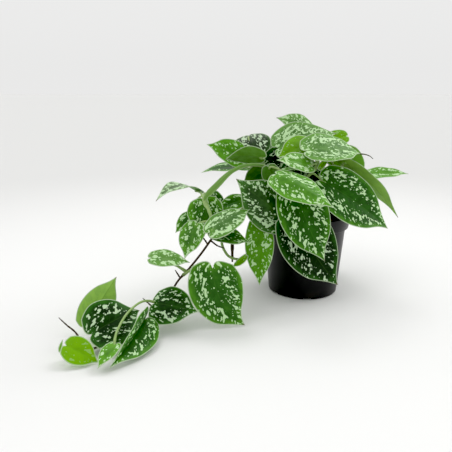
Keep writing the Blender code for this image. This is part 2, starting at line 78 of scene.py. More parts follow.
# The leaves and their stalks
BLADE_THICK = 0.8
BLADE_ROWS = (0.0, 0.2, 0.45, 0.73)
BLADE_COLUMNS = (-1.0, -0.5, 0.0, 0.5, 1.0)
WIDEST = 0.3
SHOULDER = 0.32
TIP_SHARPNESS = 1.15
LOBE = 0.1
LOBE_NARROW = 0.5
LEAF_GAP = 0.5
STALK_RADIUS = 1.15
STALK_SIDES = 4
STALK_SPANS = 4
STALK_SUNK = 2.5
STEM_SIDES = 5
STEM_SPANS = 2
STEM_NARROW = 0.7
ROOT_SIDES = 3
ROOT_SWELL = 0.2
FLOOR_GAP = 0.3

# Leaves that would touch are moved apart from front to back, along this direction, and then turned
# and tilted by one of these pairs of angles.
DEPTH = np.array((0.13, 0.955, -0.265))
DEPTH_SHIFTS = (0, 2, -2, 4, -4, 6, -6, 8, -8, 11, -11, 14, -14, 17)
TURNS = ((0, 0), (0, 10), (0, -10), (15, 0), (-15, 0), (0, 20),
         (0, -20), (15, 10), (-15, 10), (0, 32), (0, -32))
BEND_SIZES = (0, 4, 8, 12, 16, 20, 25, 31)
BEND_DIRECTIONS = 12

Leaf = namedtuple("Leaf", "along base tip face wide arch fold sway")
Vine = namedtuple("Vine", "name radius route leaves roots", defaults=((),))
Root = namedtuple("Root", "radius route")


def unit(vector):
    """The same direction with length 1."""
    return vector / np.linalg.norm(vector)


def units(vectors):
    """Each row's direction with length 1."""
    return vectors / np.linalg.norm(vectors, axis=1)[:, None]


def facing(azimuth, elevation):
    """A direction: azimuth 0 looks to the front (-Y) and 90 to the right (+X); elevation 90 looks up."""
    turn, rise = math.radians(azimuth), math.radians(elevation)
    return np.array((math.sin(turn) * math.cos(rise), -math.cos(turn) * math.cos(rise), math.sin(rise)))


def leaf(along, base, tip, face, wide=0.68, arch=0.06, fold=0.12, sway=0.0):
    """A leaf whose stalk leaves the stem at this share of its length.

    Base and tip are the blade's two ends and face is the way its upper side looks (azimuth, elevation).
    As shares of its length, wide is its width, arch how far its middle stands up and sway how far
    its midrib bows aside. Fold is the slope of its two halves.
    """
    return Leaf(along, np.array(base, float), np.array(tip, float), face, wide, arch, fold, sway)


# Stems run from the soil to their ends. The leaves and their places are those of the real plant.
VINES = [
    Vine("vine_front", 1.9, [
        (-6, -26, STEM_FOOT), (-7, -31, 90), (-11, -40, 108), (-16, -47, 122), (-22, -50, 133),
    ], [
        leaf(0.97, (-37, -74, 139), (10, -98, 113), (-5, 68), 0.74, 0.05, -0.30),
        leaf(0.62, (-21, -68, 125), (10, -72, 54), (5, 15), 0.64, 0.05, 0.10, 0.03),
        leaf(0.30, (-19, -57, 94), (28, -54, 23), (10, 5), 0.66, 0.06, 0.10, 0.04),
        leaf(0.97, (-44, -42, 142), (-35, -46, 117), (180, 20), 0.72, 0.06, 0.10),
    ]),
    Vine("vine_front_left", 1.8, [
        (-25, -20, STEM_FOOT), (-29, -25, 92), (-38, -34, 103), (-50, -40, 106), (-60, -43, 106),
    ], [
        leaf(0.45, (-27, -58, 92), (-77, -62, 134), (-10, 20), 0.73, 0.05, -0.10),
        leaf(0.75, (-53, -52, 87), (-52, -54, 22), (0, 10), 0.46, 0.04, 0.22),
        leaf(0.98, (-69, -46, 110), (-96, -54, 100), (0, 50), 0.66, 0.06, 0.10),
    ]),
    Vine("vine_right_front", 1.9, [
        (14, -22, STEM_FOOT), (11, -26, 95), (2, -32, 114), (-6, -36, 127), (3, -35, 139), (6, -34, 146),
    ], [
        leaf(0.72, (12, -43, 127), (82, -30, 76), (12, 30), 0.62, 0.05, 0.10),
        leaf(0.97, (-5, -40, 158), (52, -18, 152), (-5, 58), 0.76, 0.09, 0.08),
        leaf(0.92, (-3, -45, 144), (-38, -60, 151), (-5, 42), 0.60, 0.05, 0.10),
        leaf(0.80, (2, -32, 139), (-37, -46, 140), (0, 88), 0.60, 0.04, 0.10),
        leaf(0.99, (7, -37, 139), (17, -36, 151), (-30, 20), 0.45, 0.05, 0.30),
    ]),
    Vine("vine_right", 1.8, [
        (29, -5, STEM_FOOT), (31, -5, 95), (34, -4, 118), (37, -2, 136),
    ], [
        leaf(0.97, (38, -10, 143), (100, -6, 82), (125, 45), 0.36, 0.05, 0.10),
        leaf(0.88, (35, 12, 150), (65, 6, 122), (170, 25), 0.84, 0.05, 0.10),
        leaf(0.75, (69, 15, 126), (111, 5, 128), (0, 64), 0.50, 0.04, 0.10),
        leaf(0.60, (46, 2, 116), (66, 8, 74), (80, 20), 0.74),
        leaf(0.45, (42, 20, 102), (60, 32, 66), (110, 15), 0.72),
        leaf(0.94, (46, 0, 144), (19, 2, 143), (0, 30), 0.64),
    ]),
    Vine("vine_top", 1.8, [
        (4, 10, STEM_FOOT), (3, 12, 100), (0, 16, 125), (-4, 20, 140),
    ], [
        leaf(0.97, (11, 50, 170), (-30, 38, 186), (0, 38), 0.66, 0.05, 0.08),
        leaf(0.90, (-29, 8, 156), (34, 20, 170), (-8, 48), 0.80, 0.07, 0.06),
        leaf(0.80, (-33, 26, 150), (24, 40, 168), (-15, 42), 0.76, 0.05, 0.06),
        leaf(0.95, (50, 44, 165), (17, 36, 158), (10, 30), 0.56, 0.05, 0.10),
        leaf(0.85, (2, -14, 161), (-35, -32, 150), (0, 40), 0.70, 0.06, 0.10),
        # These three leaves fill the crown's middle, and their near-black look in LEAF_LOOKS is painted
        # shade for the deep shadow inside the crown.
        leaf(0.60, (-18, -8, 138), (-25, -8, 105), (0, 20), 0.80),
        leaf(0.55, (4, -8, 138), (12, -8, 104), (0, 20), 0.80),
        leaf(0.65, (-28, 6, 152), (-43, 4, 120), (0, 20), 0.80),
    ]),
    Vine("vine_left_top", 1.7, [
        (-23, 3, STEM_FOOT), (-28, 1, 100), (-36, -2, 122), (-45, -6, 138), (-52, -8, 146),
    ], [
        leaf(0.97, (-66, 2, 145), (-106, -10, 161), (-10, 34), 0.68, 0.06, 0.10),
        leaf(0.50, (-60, 32, 167), (-50, 5, 134), (-5, 38), 0.96, 0.20, -0.22),
        leaf(0.80, (-50, -31, 150), (-87, -44, 149), (180, 38), 0.62, 0.12, 0.10),
        leaf(0.70, (-46, -18, 135), (-70, -34, 121), (200, 20), 0.74, 0.06, 0.10),
        leaf(0.75, (-66, -2, 136), (-112, -16, 133), (0, 80), 0.60, 0.06, 0.08),
        leaf(0.60, (-48, 12, 122), (-64, 26, 82), (-100, 20), 0.74),
        leaf(0.45, (-40, 24, 104), (-56, 44, 68), (-120, 20), 0.74),
    ]),
    Vine("vine_arching", 2.0, [
        (-32, -9, STEM_FOOT), (-35, -12, 105), (-39, -21, 130), (-47, -33, 141),
        (-64, -45, 144), (-80, -54, 139), (-94, -60, 127), (-106, -66, 114),
        (-102, -69, 104), (-98, -71, 92),
    ], [
        leaf(0.83, (-108, -55, 111), (-100, -61, 78), (-15, 30), 1.06, 0.06, 0.12),
        leaf(0.83, (-101, -44, 115), (-93, -46, 86), (10, 30), 0.74, 0.06, 0.12),
        leaf(0.95, (-98, -78, 86), (-61, -52, 101), (-20, 50), 0.62, 0.08, -0.12),
        leaf(0.99, (-114, -66, 90), (-125, -82, 60), (-25, 25), 0.76, 0.05, 0.10),
        leaf(0.90, (-120, -50, 95), (-136, -54, 78), (-30, 20), 0.72, 0.05, 0.10),
        leaf(0.80, (-116, -26, 116), (-153, -64, 112), (-20, 80), 0.52, 0.18, 0.10),
    ], [
        Root(0.6, [(-98, -70, 96), (-88, -70, 100), (-80, -69, 98)]),
    ]),
    Vine("vine_trailing", 1.5, [
        (-36, -3, STEM_FOOT), (-42, -8, 92), (-53, -18, 97), (-66, -34, 93), (-82, -54, 86),
        (-95, -68, 81), (-100, -75, 77), (-108, -82, 67), (-120, -88, 53), (-132, -88, 39),
        (-141, -88, 22), (-150, -93, 7), (-160, -106, 3.5), (-176, -128, 3.5),
        (-192, -146, 3.5), (-203, -160, 3.5),
    ], [
        leaf(0.34, (-98, -68, 82), (-61, -60, 70), (0, 65), 0.70, 0.05, 0.10),
        leaf(0.55, (-154, -98, 66), (-119, -93, 60), (-10, 58), 0.58, 0.06, 0.08),
        leaf(0.57, (-98, -105, 58), (-68, -104, 2), (5, 8), 0.77, 0.04, 0.06, 0.12),
        leaf(0.66, (-151, -98, 22), (-110, -113, 20), (-12, 50), 0.92, 0.05, -0.06),
        leaf(0.93, (-158, -118, 15), (-176, -184, 4), (50, 20), 0.56, 0.04, 0.9),
        leaf(0.90, (-198, -150, 16), (-163, -120, 24), (-12, 36), 1.02, 0.10, 0.10),
        leaf(0.94, (-211, -120, 11), (-185, -106, 51), (180, 10), 0.60, 0.05, 0.10),
        leaf(0.99, (-213, -168, 15), (-188, -168, 0), (-10, 50), 0.80, 0.06, 0.10),
        leaf(0.69, (-175, -169, 16), (-185, -190, 6), (-20, 70), 0.60, 0.05, 0.05),
        leaf(0.97, (-220, -170, 10), (-218, -166, 19), (-20, 30), 0.34, 0.05, 0.30),
    ], [
        Root(0.6, [(-103, -78, 73), (-107, -75, 78), (-110, -74, 80)]),
        Root(0.6, [(-100, -76, 76), (-94, -75, 71), (-87, -74, 68)]),
        Root(0.6, [(-129, -88, 43), (-132, -86, 47), (-134, -85, 50)]),
        Root(0.6, [(-149, -92, 9), (-158, -96, 20), (-164, -96, 26)]),
        Root(0.6, [(-143, -89, 20), (-134, -92, 10), (-126, -95, 4)]),
        Root(0.6, [(-202, -159, 4), (-213, -146, 14), (-222, -142, 20), (-229, -140, 26)]),
    ]),
    Vine("vine_hanging", 1.7, [
        (-28, 17, STEM_FOOT), (-36, 20, 92), (-50, 20, 98), (-64, 6, 93), (-76, -14, 85),
        (-86, -38, 77), (-90, -52, 68), (-86, -56, 58), (-80, -57, 53), (-69, -58, 51),
    ], [
        leaf(0.97, (-66, -60, 56), (-80, -56, 43), (40, 30), 0.40, 0.10, 0.40),
    ], [
        Root(2.1, [(-78, -20, 82), (-79, -19, 60), (-79, -18, 36)]),
    ]),
]

# The far side's vines. A leaf's row is its place along the stem, its base as an angle from +X towards
# the back, a radius and a height, then how far it heads aside, how steeply it drops, and its length.
BACK_EXIT = 30
BACK_VINES = (
    # angle, radius and height of the stem's end, leaves
    (34, 42, 124, (
        (0.97, 40, 44, 138, 10, 30, 46),
        (0.85, 26, 42, 124, 40, 48, 46),
        (0.72, 48, 46, 114, -2, 62, 50),
        (0.60, 60, 40, 130, 20, 25, 44),
    )),
    (80, 60, 82, (
        (0.97, 84, 64, 84, 5, 78, 62),
        (0.85, 62, 56, 92, 10, 70, 56),
        (0.72, 98, 58, 96, -5, 66, 58),
        (0.60, 74, 48, 106, -6, 45, 56),
        (0.45, 108, 46, 108, 6, 52, 54),
    )),
    (106, 44, 136, (
        (0.98, 100, 44, 152, -30, 12, 52),
        (0.90, 122, 42, 148, -20, 25, 48),
        (0.80, 88, 44, 136, -10, 38, 50),
        (0.65, 150, 38, 134, 0, 30, 40),
        (0.55, 70, 42, 142, -20, 14, 46),
    )),
    (140, 56, 88, (
        (0.97, 132, 58, 90, 0, 72, 52),
        (0.80, 116, 54, 96, 8, 72, 46),
        (0.55, 140, 42, 118, 0, 42, 44),
    )),
)


def back_vine(number, angle, reach, height, rows):
    """A stem on the far side, whose leaves face outwards and up."""

    def place(turn, radius, level):
        turn = math.radians(turn)
        return np.array((radius * math.cos(turn), radius * math.sin(turn), level))

    route = [
        place(angle, BACK_EXIT, STEM_FOOT),
        place(angle, BACK_EXIT * 1.05, 92),
        place(angle, (BACK_EXIT + reach) / 2, (104 + height) / 2),
        place(angle, reach, height),
    ]
    leaves = []
    for along, turn, radius, level, aside, drop, length in rows:
        base = place(turn, radius, level)
        fall = math.radians(drop)
        tip = base + place(turn + aside, length * math.cos(fall), -length * math.sin(fall))
        leaves.append(leaf(along, base, tip, (turn + aside + 90, 90 - drop), 0.72))
    return Vine(f"vine_back_{number}", 1.8, route, leaves)


def all_vines():
    """Every leafy stem of the plant, the seen ones first."""
    return VINES + [back_vine(number, *row) for number, row in enumerate(BACK_VINES, 1)]


def blade_axes(leaf):
    """The blade's length, the direction from its stalk to its tip and the way its upper side looks."""
    length = np.linalg.norm(leaf.tip - leaf.base)
    axis = (leaf.tip - leaf.base) / length
    face = facing(*leaf.face)
    return length, axis, unit(face - face.dot(axis) * axis)


def flat_place(leaf, along, across):
    """Where points of a blade lie when it is pressed flat: aside of its midrib, and ahead of its base.

    Along runs from the stalk (0) to the tip (1), and across from -1 to 1.
    """
    length, _, _ = blade_axes(leaf)
    before = np.clip((WIDEST - along) / WIDEST, 0, 1)
    after = np.clip((along - WIDEST) / (1 - WIDEST), 0, 1)
    outline = (1 - SHOULDER * before**2) * (1 - after**2) ** TIP_SHARPNESS
    lobes = np.sin(0.85 * math.pi * np.abs(across) ** LOBE_NARROW) * (1 - along) ** 3
    return 0.5 * leaf.wide * length * outline * across, length * (along - LOBE * lobes)


def blade_points(leaf, along, across):
    """Points of a blade's middle surface."""
    length, axis, normal = blade_axes(leaf)
    side = np.cross(axis, normal)
    x, y = flat_place(leaf, along, across)
    share = y / length
    bow = 4 * length * share * (1 - share)
    z = leaf.arch * bow + leaf.fold * np.abs(x) * (1 - 0.3 * np.abs(across))
    x = x / math.hypot(1, leaf.fold)
    y = y - 4 * leaf.sway * (1 - 2 * share) * x
    x = x + leaf.sway * bow
    return leaf.base + np.outer(y, axis) + np.outer(x, side) + np.outer(z, normal)


def vertex_normals(points, triangles):
    """Smooth normals of a surface."""
    corners = points[triangles]
    faces = np.cross(corners[:, 1] - corners[:, 0], corners[:, 2] - corners[:, 0])
    normals = np.zeros_like(points)
    for corner in range(3):
        np.add.at(normals, triangles[:, corner], faces)
    return units(normals)


def grid_border(rows, columns, end):
    """The way round a grid of points, by these points at its last row's end."""
    right = [row * columns + columns - 1 for row in range(rows)]
    left = [row * columns for row in range(rows - 1, 0, -1)]
    return list(range(columns - 1)) + right + end + left


def blade_solid(leaf, thick):
    """A closed blade of this thickness, with both faces split into triangles alike."""
    columns = len(BLADE_COLUMNS)
    rows = len(BLADE_ROWS)
    along = np.append(np.repeat(BLADE_ROWS, columns), 1.0)
    across = np.append(np.tile(BLADE_COLUMNS, rows), 0.0)
    middle = blade_points(leaf, along, across)
    triangles = []
    for row in range(rows - 1):
        for column in range(columns - 1):
            a = row * columns + column
            b, c, d = a + 1, a + columns, a + columns + 1
            if column < columns // 2:
                triangles += [(a, b, d), (a, d, c)]
            else:
                triangles += [(a, b, c), (b, d, c)]
    last = (rows - 1) * columns
    point = rows * columns
    triangles += [(last + column, last + column + 1, point) for column in range(columns - 1)]
    triangles = np.array(triangles)
    offset = vertex_normals(middle, triangles) * thick / 2
    count = len(middle)
    border = grid_border(rows, columns, [point])
    faces = [tuple(face) for face in triangles] + [tuple(face[::-1] + count) for face in triangles]
    for a, b in zip(border, border[1:] + border[:1]):
        faces += [(b, a, a + count), (b, a + count, b + count)]
    return np.concatenate((middle + offset, middle - offset)), faces


def smooth_route(points, spans):
    """A smooth curve through the points, as a row of points with this many spans between each two."""
    points = np.array(points, float)
    ends = np.concatenate(([2 * points[0] - points[1]], points, [2 * points[-1] - points[-2]]))
    route = []
    for a, b, c, d in zip(ends, ends[1:], ends[2:], ends[3:]):
        for step in range(spans):
            t = step / spans
            square, cube = 2 * a - 5 * b + 4 * c - d, 3 * b - a - 3 * c + d
            route.append(0.5 * (2 * b + (c - a) * t + square * t**2 + cube * t**3))
    return np.array(route + [points[-1]])


def tube_solid(route, radii, sides):
    """A closed tube along the route, with flat ends."""
    tangents = np.gradient(route, axis=0)
    across = np.cross(tangents[0], (0.3, 0.2, 0.9))
    rings = []
    for point, tangent, radius in zip(route, tangents, radii):
        tangent = unit(tangent)
        across = unit(across - across.dot(tangent) * tangent)
        other = np.cross(tangent, across)
        for k in range(sides):
            turn = 2 * math.pi * k / sides
            rings.append(point + radius * (math.cos(turn) * across + math.sin(turn) * other))
    faces = [tuple(range(sides - 1, -1, -1))]
    for ring in range(len(route) - 1):
        for k in range(sides):
            a, b = ring * sides + k, ring * sides + (k + 1) % sides
            faces.append((a, b, b + sides, a + sides))
    last = (len(route) - 1) * sides
    faces.append(tuple(range(last, last + sides)))
    return np.array(rings), faces


class Shape:
    """A closed surface that can be tested against another for contact."""

    def __init__(self, solid):
        self.points, self.faces = solid
        self.low, self.high = self.points.min(axis=0), self.points.max(axis=0)
        self.tree = BVHTree.FromPolygons(self.points.tolist(), self.faces)

    def touches(self, other):
        if (self.low > other.high).any() or (other.low > self.high).any():
            return False
        return bool(self.tree.overlap(other.tree))


def is_clear(solid, others):
    """Whether a solid touches none of the others, the pot or the floor."""
    shape = Shape(solid)
    return shape.low[2] > FLOOR_GAP and not any(shape.touches(other) for other in others)


def tapered(first, last, count):
    """Radii that narrow evenly."""
    return np.linspace(first, last, count)


def stem_solid(vine, extra=0.0):
    route = smooth_route(vine.route, STEM_SPANS)
    radii = tapered(vine.radius, vine.radius * STEM_NARROW, len(route))
    return tube_solid(route, radii + extra, STEM_SIDES)


def root_solid(root, extra=0.0):
    route = smooth_route(root.route, 1)
    radii = tapered(root.radius + ROOT_SWELL, root.radius * STEM_NARROW, len(route))
    return tube_solid(route, radii + extra, ROOT_SIDES)


def placed_leaf(leaf, others):
    """The leaf, moved a little in depth or tilted until it is clear of the others."""
    for turn, tilt in TURNS:
        for shift in DEPTH_SHIFTS:
            moved = leaf._replace(
                base=leaf.base + DEPTH * shift,
                tip=leaf.tip + DEPTH * shift,
                face=(leaf.face[0] + turn, leaf.face[1] + tilt),
            )
            if is_clear(blade_solid(moved, BLADE_THICK + 2 * LEAF_GAP), others):
                return moved
    print("no clear place for the leaf at", leaf.base)
    return leaf


def stalk_route(start, leaf, bend):
    """A curve from the stem to the blade, bent aside by a vector at its middle."""
    _, axis, normal = blade_axes(leaf)
    end = leaf.base + axis * STALK_SUNK
    gap = np.linalg.norm(end - start)
    first = start + (end - start) * 0.3 + np.array((0, 0, 0.18 * gap)) + bend
    second = leaf.base - axis * min(6, 0.2 * gap) - normal * min(4, 0.15 * gap) + bend * 0.5
    steps = np.linspace(0, 1, STALK_SPANS + 1)[:, None]
    rest = 1 - steps
    return rest**3 * start + 3 * rest**2 * steps * first + 3 * rest * steps**2 * second + steps**3 * end


def stalk_solid(route, extra=0.0):
    radii = tapered(STALK_RADIUS * 1.15, STALK_RADIUS * 0.85, len(route))
    return tube_solid(route, radii + extra, STALK_SIDES)


def placed_stalk(start, leaf, others):
    """The straightest stalk that is clear of the others, and whether it is."""
    end = leaf.base
    across = unit(np.cross(end - start + (0, 0, 1e-6), (0.2, 0.1, 1.0)))
    other = unit(np.cross(end - start, across))
    for size in BEND_SIZES:
        for k in range(BEND_DIRECTIONS if size else 1):
            turn = 2 * math.pi * k / BEND_DIRECTIONS
            bend = size * (math.cos(turn) * across + math.sin(turn) * other)
            route = stalk_route(start, leaf, bend)
            if is_clear(stalk_solid(route, LEAF_GAP), others):
                return route, True
    return stalk_route(start, leaf, np.zeros(3)), False


def plant_layout(vines):
    """Clear places for every leaf and stalk: rows of (vine, [(leaf, stalk route), ...])."""
    pot = Shape(pot_hull())
    stems = {}
    for vine in vines:
        stems[vine.name] = [Shape(stem_solid(vine))] + [Shape(root_solid(root)) for root in vine.roots]
    blades = []
    for vine in vines:
        for row in vine.leaves:
            others = [pot] + [shape for group in stems.values() for shape in group]
            others += [shape for _, _, shape in blades]
            moved = placed_leaf(row, others)
            blades.append((vine.name, moved, Shape(blade_solid(moved, BLADE_THICK))))
    stalks = []
    layout = []
    for vine in vines:
        route = smooth_route(vine.route, 8)
        grown = []
        for name, row, own in blades:
            if name != vine.name:
                continue
            start = route[round(row.along * (len(route) - 1))]
            others = [pot] + [shape for other, group in stems.items() if other != name for shape in group]
            others += [shape for _, _, shape in blades if shape is not own]
            others += [shape for other, shape in stalks if other != name]
            path, clear = placed_stalk(start, row, others)
            if not clear:
                print("no clear way for the stalk of the leaf at", row.base, "on", name)
            stalks.append((name, Shape(stalk_solid(path))))
            grown.append((row, path))
        layout.append((vine, grown))
    return layout


def pot_profile():
    """The pot's cut from the middle of its floor, out and up its outer side, and back down inside."""
    band_wall = POT_BASE_RADIUS + POT_BAND_LOW * POT_TAPER
    band_foot = band_wall + POT_BAND_STEP
    inner_floor = POT_FLOOR + POT_FLOOR_RISE
    foot_inner = POT_BASE_RADIUS - POT_FOOT_WIDTH
    return [
        (0, 0),
        (POT_CENTRE_FOOT, 0),
        (POT_CENTRE_FOOT + 1, POT_FLOOR_RISE),
        (foot_inner - 1, POT_FLOOR_RISE),
        (foot_inner, 0),
        (POT_BASE_RADIUS - 1, 0),
        (POT_BASE_RADIUS, 1),
        (band_wall, POT_BAND_LOW),
        (band_foot, POT_BAND_LOW + 0.6),
        (POT_RIM_RADIUS - 0.4, POT_HEIGHT - 1),
        (POT_RIM_RADIUS - 0.8, POT_HEIGHT),
        (POT_RIM_RADIUS - POT_WALL, POT_HEIGHT),
        (band_foot - POT_WALL, POT_BAND_LOW + 2),
        (band_wall - POT_WALL, POT_BAND_LOW + 1),
        (POT_BASE_RADIUS - POT_WALL + inner_floor * POT_TAPER, inner_floor),
        (0, inner_floor),
    ]


def turned_solid(profile, sides):
    """A solid turned about Z from a profile that starts and ends on the axis."""
    rim = profile[1:-1]
    points = [(0, 0, profile[0][1]), (0, 0, profile[-1][1])]
    for k in range(sides):
        turn = 2 * math.pi * k / sides
        points += [(radius * math.cos(turn), radius * math.sin(turn), height) for radius, height in rim]
    faces = []
    step = len(rim)
    for k in range(sides):
        here, there = 2 + k * step, 2 + (k + 1) % sides * step
        faces.append((0, there, here))
        faces.append((1, here + step - 1, there + step - 1))
        faces += [(here + i, there + i, there + i + 1, here + i + 1) for i in range(step - 1)]
    return np.array(points, float), faces


def pot_hull():
    """The space that the pot fills, which leaves stay clear of."""
    outer = [(radius + HULL_GAP, height) for radius, height in pot_profile()[5:11]]
    return turned_solid([(0, 0)] + outer + [(0, POT_HEIGHT - HULL_SUNK)], HULL_SIDES)


def take_result(holder, modifier):
    """Makes the modifier's result the object's own plain mesh, and removes the modifier."""
    graph = bpy.context.evaluated_depsgraph_get()
    mesh = bpy.data.meshes.new_from_object(holder.evaluated_get(graph))
    holder.modifiers.remove(modifier)
    old, holder.data = holder.data, mesh
    bpy.data.meshes.remove(old)


def linked(name, data):
    """A new object of the scene that shows this data."""
    made = bpy.data.objects.new(name, data)
    bpy.context.scene.collection.objects.link(made)
    return made


def mesh_object(name, solid, finish=None, edges=()):
    """An object in metres, made of points in millimetres and faces or bare edges."""
    points, faces = solid
    mesh = bpy.data.meshes.new(name)
    mesh.from_pydata((points * MM).tolist(), edges, [[int(i) for i in face] for face in faces])
    mesh.update()
    if finish:
        mesh.materials.append(finish)
    return linked(name, mesh)


def chain(start, count):
    """The edges that join this many points, one after the other."""
    return [(i, i + 1) for i in range(start, start + count - 1)]


def cut(target, cutters):
    """Cuts the target with the cutters in one Boolean, applies it and removes them."""
    helpers = bpy.data.collections.new("helpers")
    bpy.context.scene.collection.children.link(helpers)
    for cutter in cutters:
        bpy.context.scene.collection.objects.unlink(cutter)
        helpers.objects.link(cutter)
    boolean = target.modifiers.new("Boolean", "BOOLEAN")
    boolean.operation, boolean.solver = "DIFFERENCE", "MANIFOLD"
    boolean.operand_type, boolean.collection = "COLLECTION", helpers
    take_result(target, boolean)
    for cutter in cutters:
        bpy.data.meshes.remove(cutter.data)
    bpy.data.collections.remove(helpers)


def soil_height(x, y):
    """The soil's top, a little lumpy."""
    lumps = math.sin(0.31 * x + 1.3) * math.cos(0.27 * y - 0.4) + 0.6 * math.sin(0.53 * x - 0.41 * y + 2.0)
    return SOIL_LEVEL + SOIL_BUMP * lumps


# The dressed pieces: where a blade's points lie, then what shapes it, the stems and the pot
FINE_ALONG = np.concatenate(((0, 0.015, 0.04, 0.075), np.linspace(0.115, 0.93, 26), (0.953, 0.972, 0.988)))
HALF_ACROSS = np.array((0.09, 0.19, 0.3, 0.42, 0.55, 0.68, 0.8, 0.9, 0.965, 1.0))
FINE_ACROSS = np.concatenate((-HALF_ACROSS[::-1], (0,), HALF_ACROSS))
BLADE_BODY = 0.5
BLADE_RIM = 0.26
MIDRIB_DEPTH = 0.4
MIDRIB_WIDTH = 1.0
QUILT_DEPTH = 0.2
QUILTS = 11
RIM_BEVEL = 2.5
RIM_WAVE = 0.6
RIM_WAVES = 2.1
LONG_LEAF = 60
RIM_SIDE_POINTS = 160
RIM_BASE_POINTS = 120
VEIN_SLOPE = 0.55
VEIN_CURVE = 0.012
VEIN_GAP = 6.2
TIP_START = 0.66
TIP_END = 0.93
TIP_DRAW = 0.34
FINE_SPANS = 8
TUBE_SIDES = 12
STALK_DROP = 0.5
KNOT_HEIGHT = 0.28
KNOT_WIDTH = 2.2
POT_FINE_SIDES = 144
CORNER_ROUND = 0.6
CORNER_STEPS = 4
SHARP_ANGLE = 48

# How far along the stem skin's pattern each path starts after the one before
PATH_SHIFT = 3.7

# The turned pot's ring starts this close to the axis, in metres, and its poles are then merged.
AXIS_RADIUS = 1e-5

# The fine soil: its side stands against the pot up to a shoulder, and its lumpy top starts at the edge.
SOIL_SHOULDER = 70
SOIL_EDGE = 77
SOIL_EDGE_DIP = 1.2
SOIL_CRUMBS = 0.35
SOIL_FINE_RINGS = 26
SOIL_FINE_SIDES = 96

# Grains strewn on a square metre, before those closer than their spacing are left out
GRAIN_DENSITY = 400000.0

# The studio: how far the floor reaches each way, the eye's place and how far it looks down, and the
# camera's focal length as a share of its sensor's width
FLOOR_REACH = 150_000
EYE_PLACE = (-85.8, -552, 212)
EYE_PITCH = 14.3
SENSOR_WIDTH = 36
FOCAL_SHARE = 520 / 452
BLACK_LEVEL = 0.014

# How each leaf looks, in the order of its vine's rows: tone from near black green (0) to a vivid
# green (1), how much silver it carries, and how young and thin it is.
LEAF_LOOKS = {
    "vine_front": ((0.8, 0.56, 0), (0.44, 0.48, 0), (0.05, 0.38, 0), (0.3, 0.4, 0)),
    "vine_front_left": ((0.3, 0.63, 0), (1.0, 0.52, 0), (0.55, 0.45, 0)),
    "vine_right_front": (
        (0.42, 0.46, 0), (0.75, 0.7, 0), (0.95, 0.62, 0), (0.7, 0.45, 0.1), (0.9, 0.0, 0.8),
    ),
    "vine_right": (
        (1.0, 0.45, 0.75), (0.9, 0.45, 0.35), (0.9, 0.6, 0.1), (0.4, 0.5, 0), (0.4, 0.5, 0), (0.9, 0.0, 0.8),
    ),
    "vine_top": (
        (0.85, 0.76, 0), (0.72, 0.76, 0), (0.5, 0.5, 0), (0.9, 0.1, 0.8), (0.7, 0.1, 0.65),
        # The last three, the crown's inner leaves, are near black as painted shade.
        (0.15, 0.4, 0), (0.15, 0.4, 0), (0.05, 0.3, 0),
    ),
    "vine_left_top": (
        (0.85, 0.42, 0), (0.05, 0.62, 0), (0.4, 0.1, 0.15), (0.15, 0.3, 0),
        (0.5, 0.3, 0), (0.4, 0.5, 0), (0.4, 0.5, 0),
    ),
    "vine_arching": (
        (0.6, 0.55, 0), (0.3, 0.45, 0), (0.65, 0.72, 0), (0.7, 0.6, 0), (0.55, 0.5, 0), (0.3, 0.9, 0),
    ),
    "vine_trailing": (
        (0.5, 0.5, 0), (0.85, 0.74, 0), (0.5, 0.55, 0), (0.24, 0.5, 0), (0.45, 0.42, 0),
        (0.2, 0.38, 0), (0.8, 0.1, 1.0), (0.9, 0.15, 1.0), (0.8, 0.25, 0.1), (0.9, 0.1, 0.8),
    ),
    "vine_hanging": ((0.8, 0.0, 0.7),),
}
PLAIN_LOOK = (0.45, 0.5, 0)

# Leaves that end in a long dry point: the row of the leaf, and where the point goes from its tip.
DRIP_TIPS = {"vine_right_front": (1, [(-3, -1, 0.4), (0, 0, 0), (5, 1, -0.6), (10, 2, -2.4), (14, 3, -5.4)])}
DRIP_RADII = (0.5, 0.75, 0.6, 0.45, 0.3)

# How old each stem's skin looks, from fresh green (0) to dark brown (1).
STEM_AGES = {"vine_trailing": 0.92, "vine_hanging": 0.0, "vine_arching": 0.05, "vine_right_front": 0.15}
STEM_AGE = 0.45
ROOT_AGE = 0.95

# How slim a stem is drawn beside the others.
STEM_SLIMNESS = {"vine_trailing": 0.82}

# The sheath along the arching stem: the share of the stem's length where it starts and ends, and
# its width at places along it.
SHEATH_ENDS = (0.33, 0.79)
SHEATH_WIDTHS = ((0, 0.8), (0.1, 2.6), (0.45, 3.6), (0.68, 6.0), (0.85, 6.2), (0.96, 3.0), (1, 0.6))
SHEATH_THICK = 0.45
SHEATH_GAP = 0.35
SHEATH_CURL = 0.09
SHEATH_RIB_HEIGHT = 0.1
SHEATH_PATTERN = (40, 6)
SHEATH_RIBS = 5
SHEATH_COLUMNS = 17


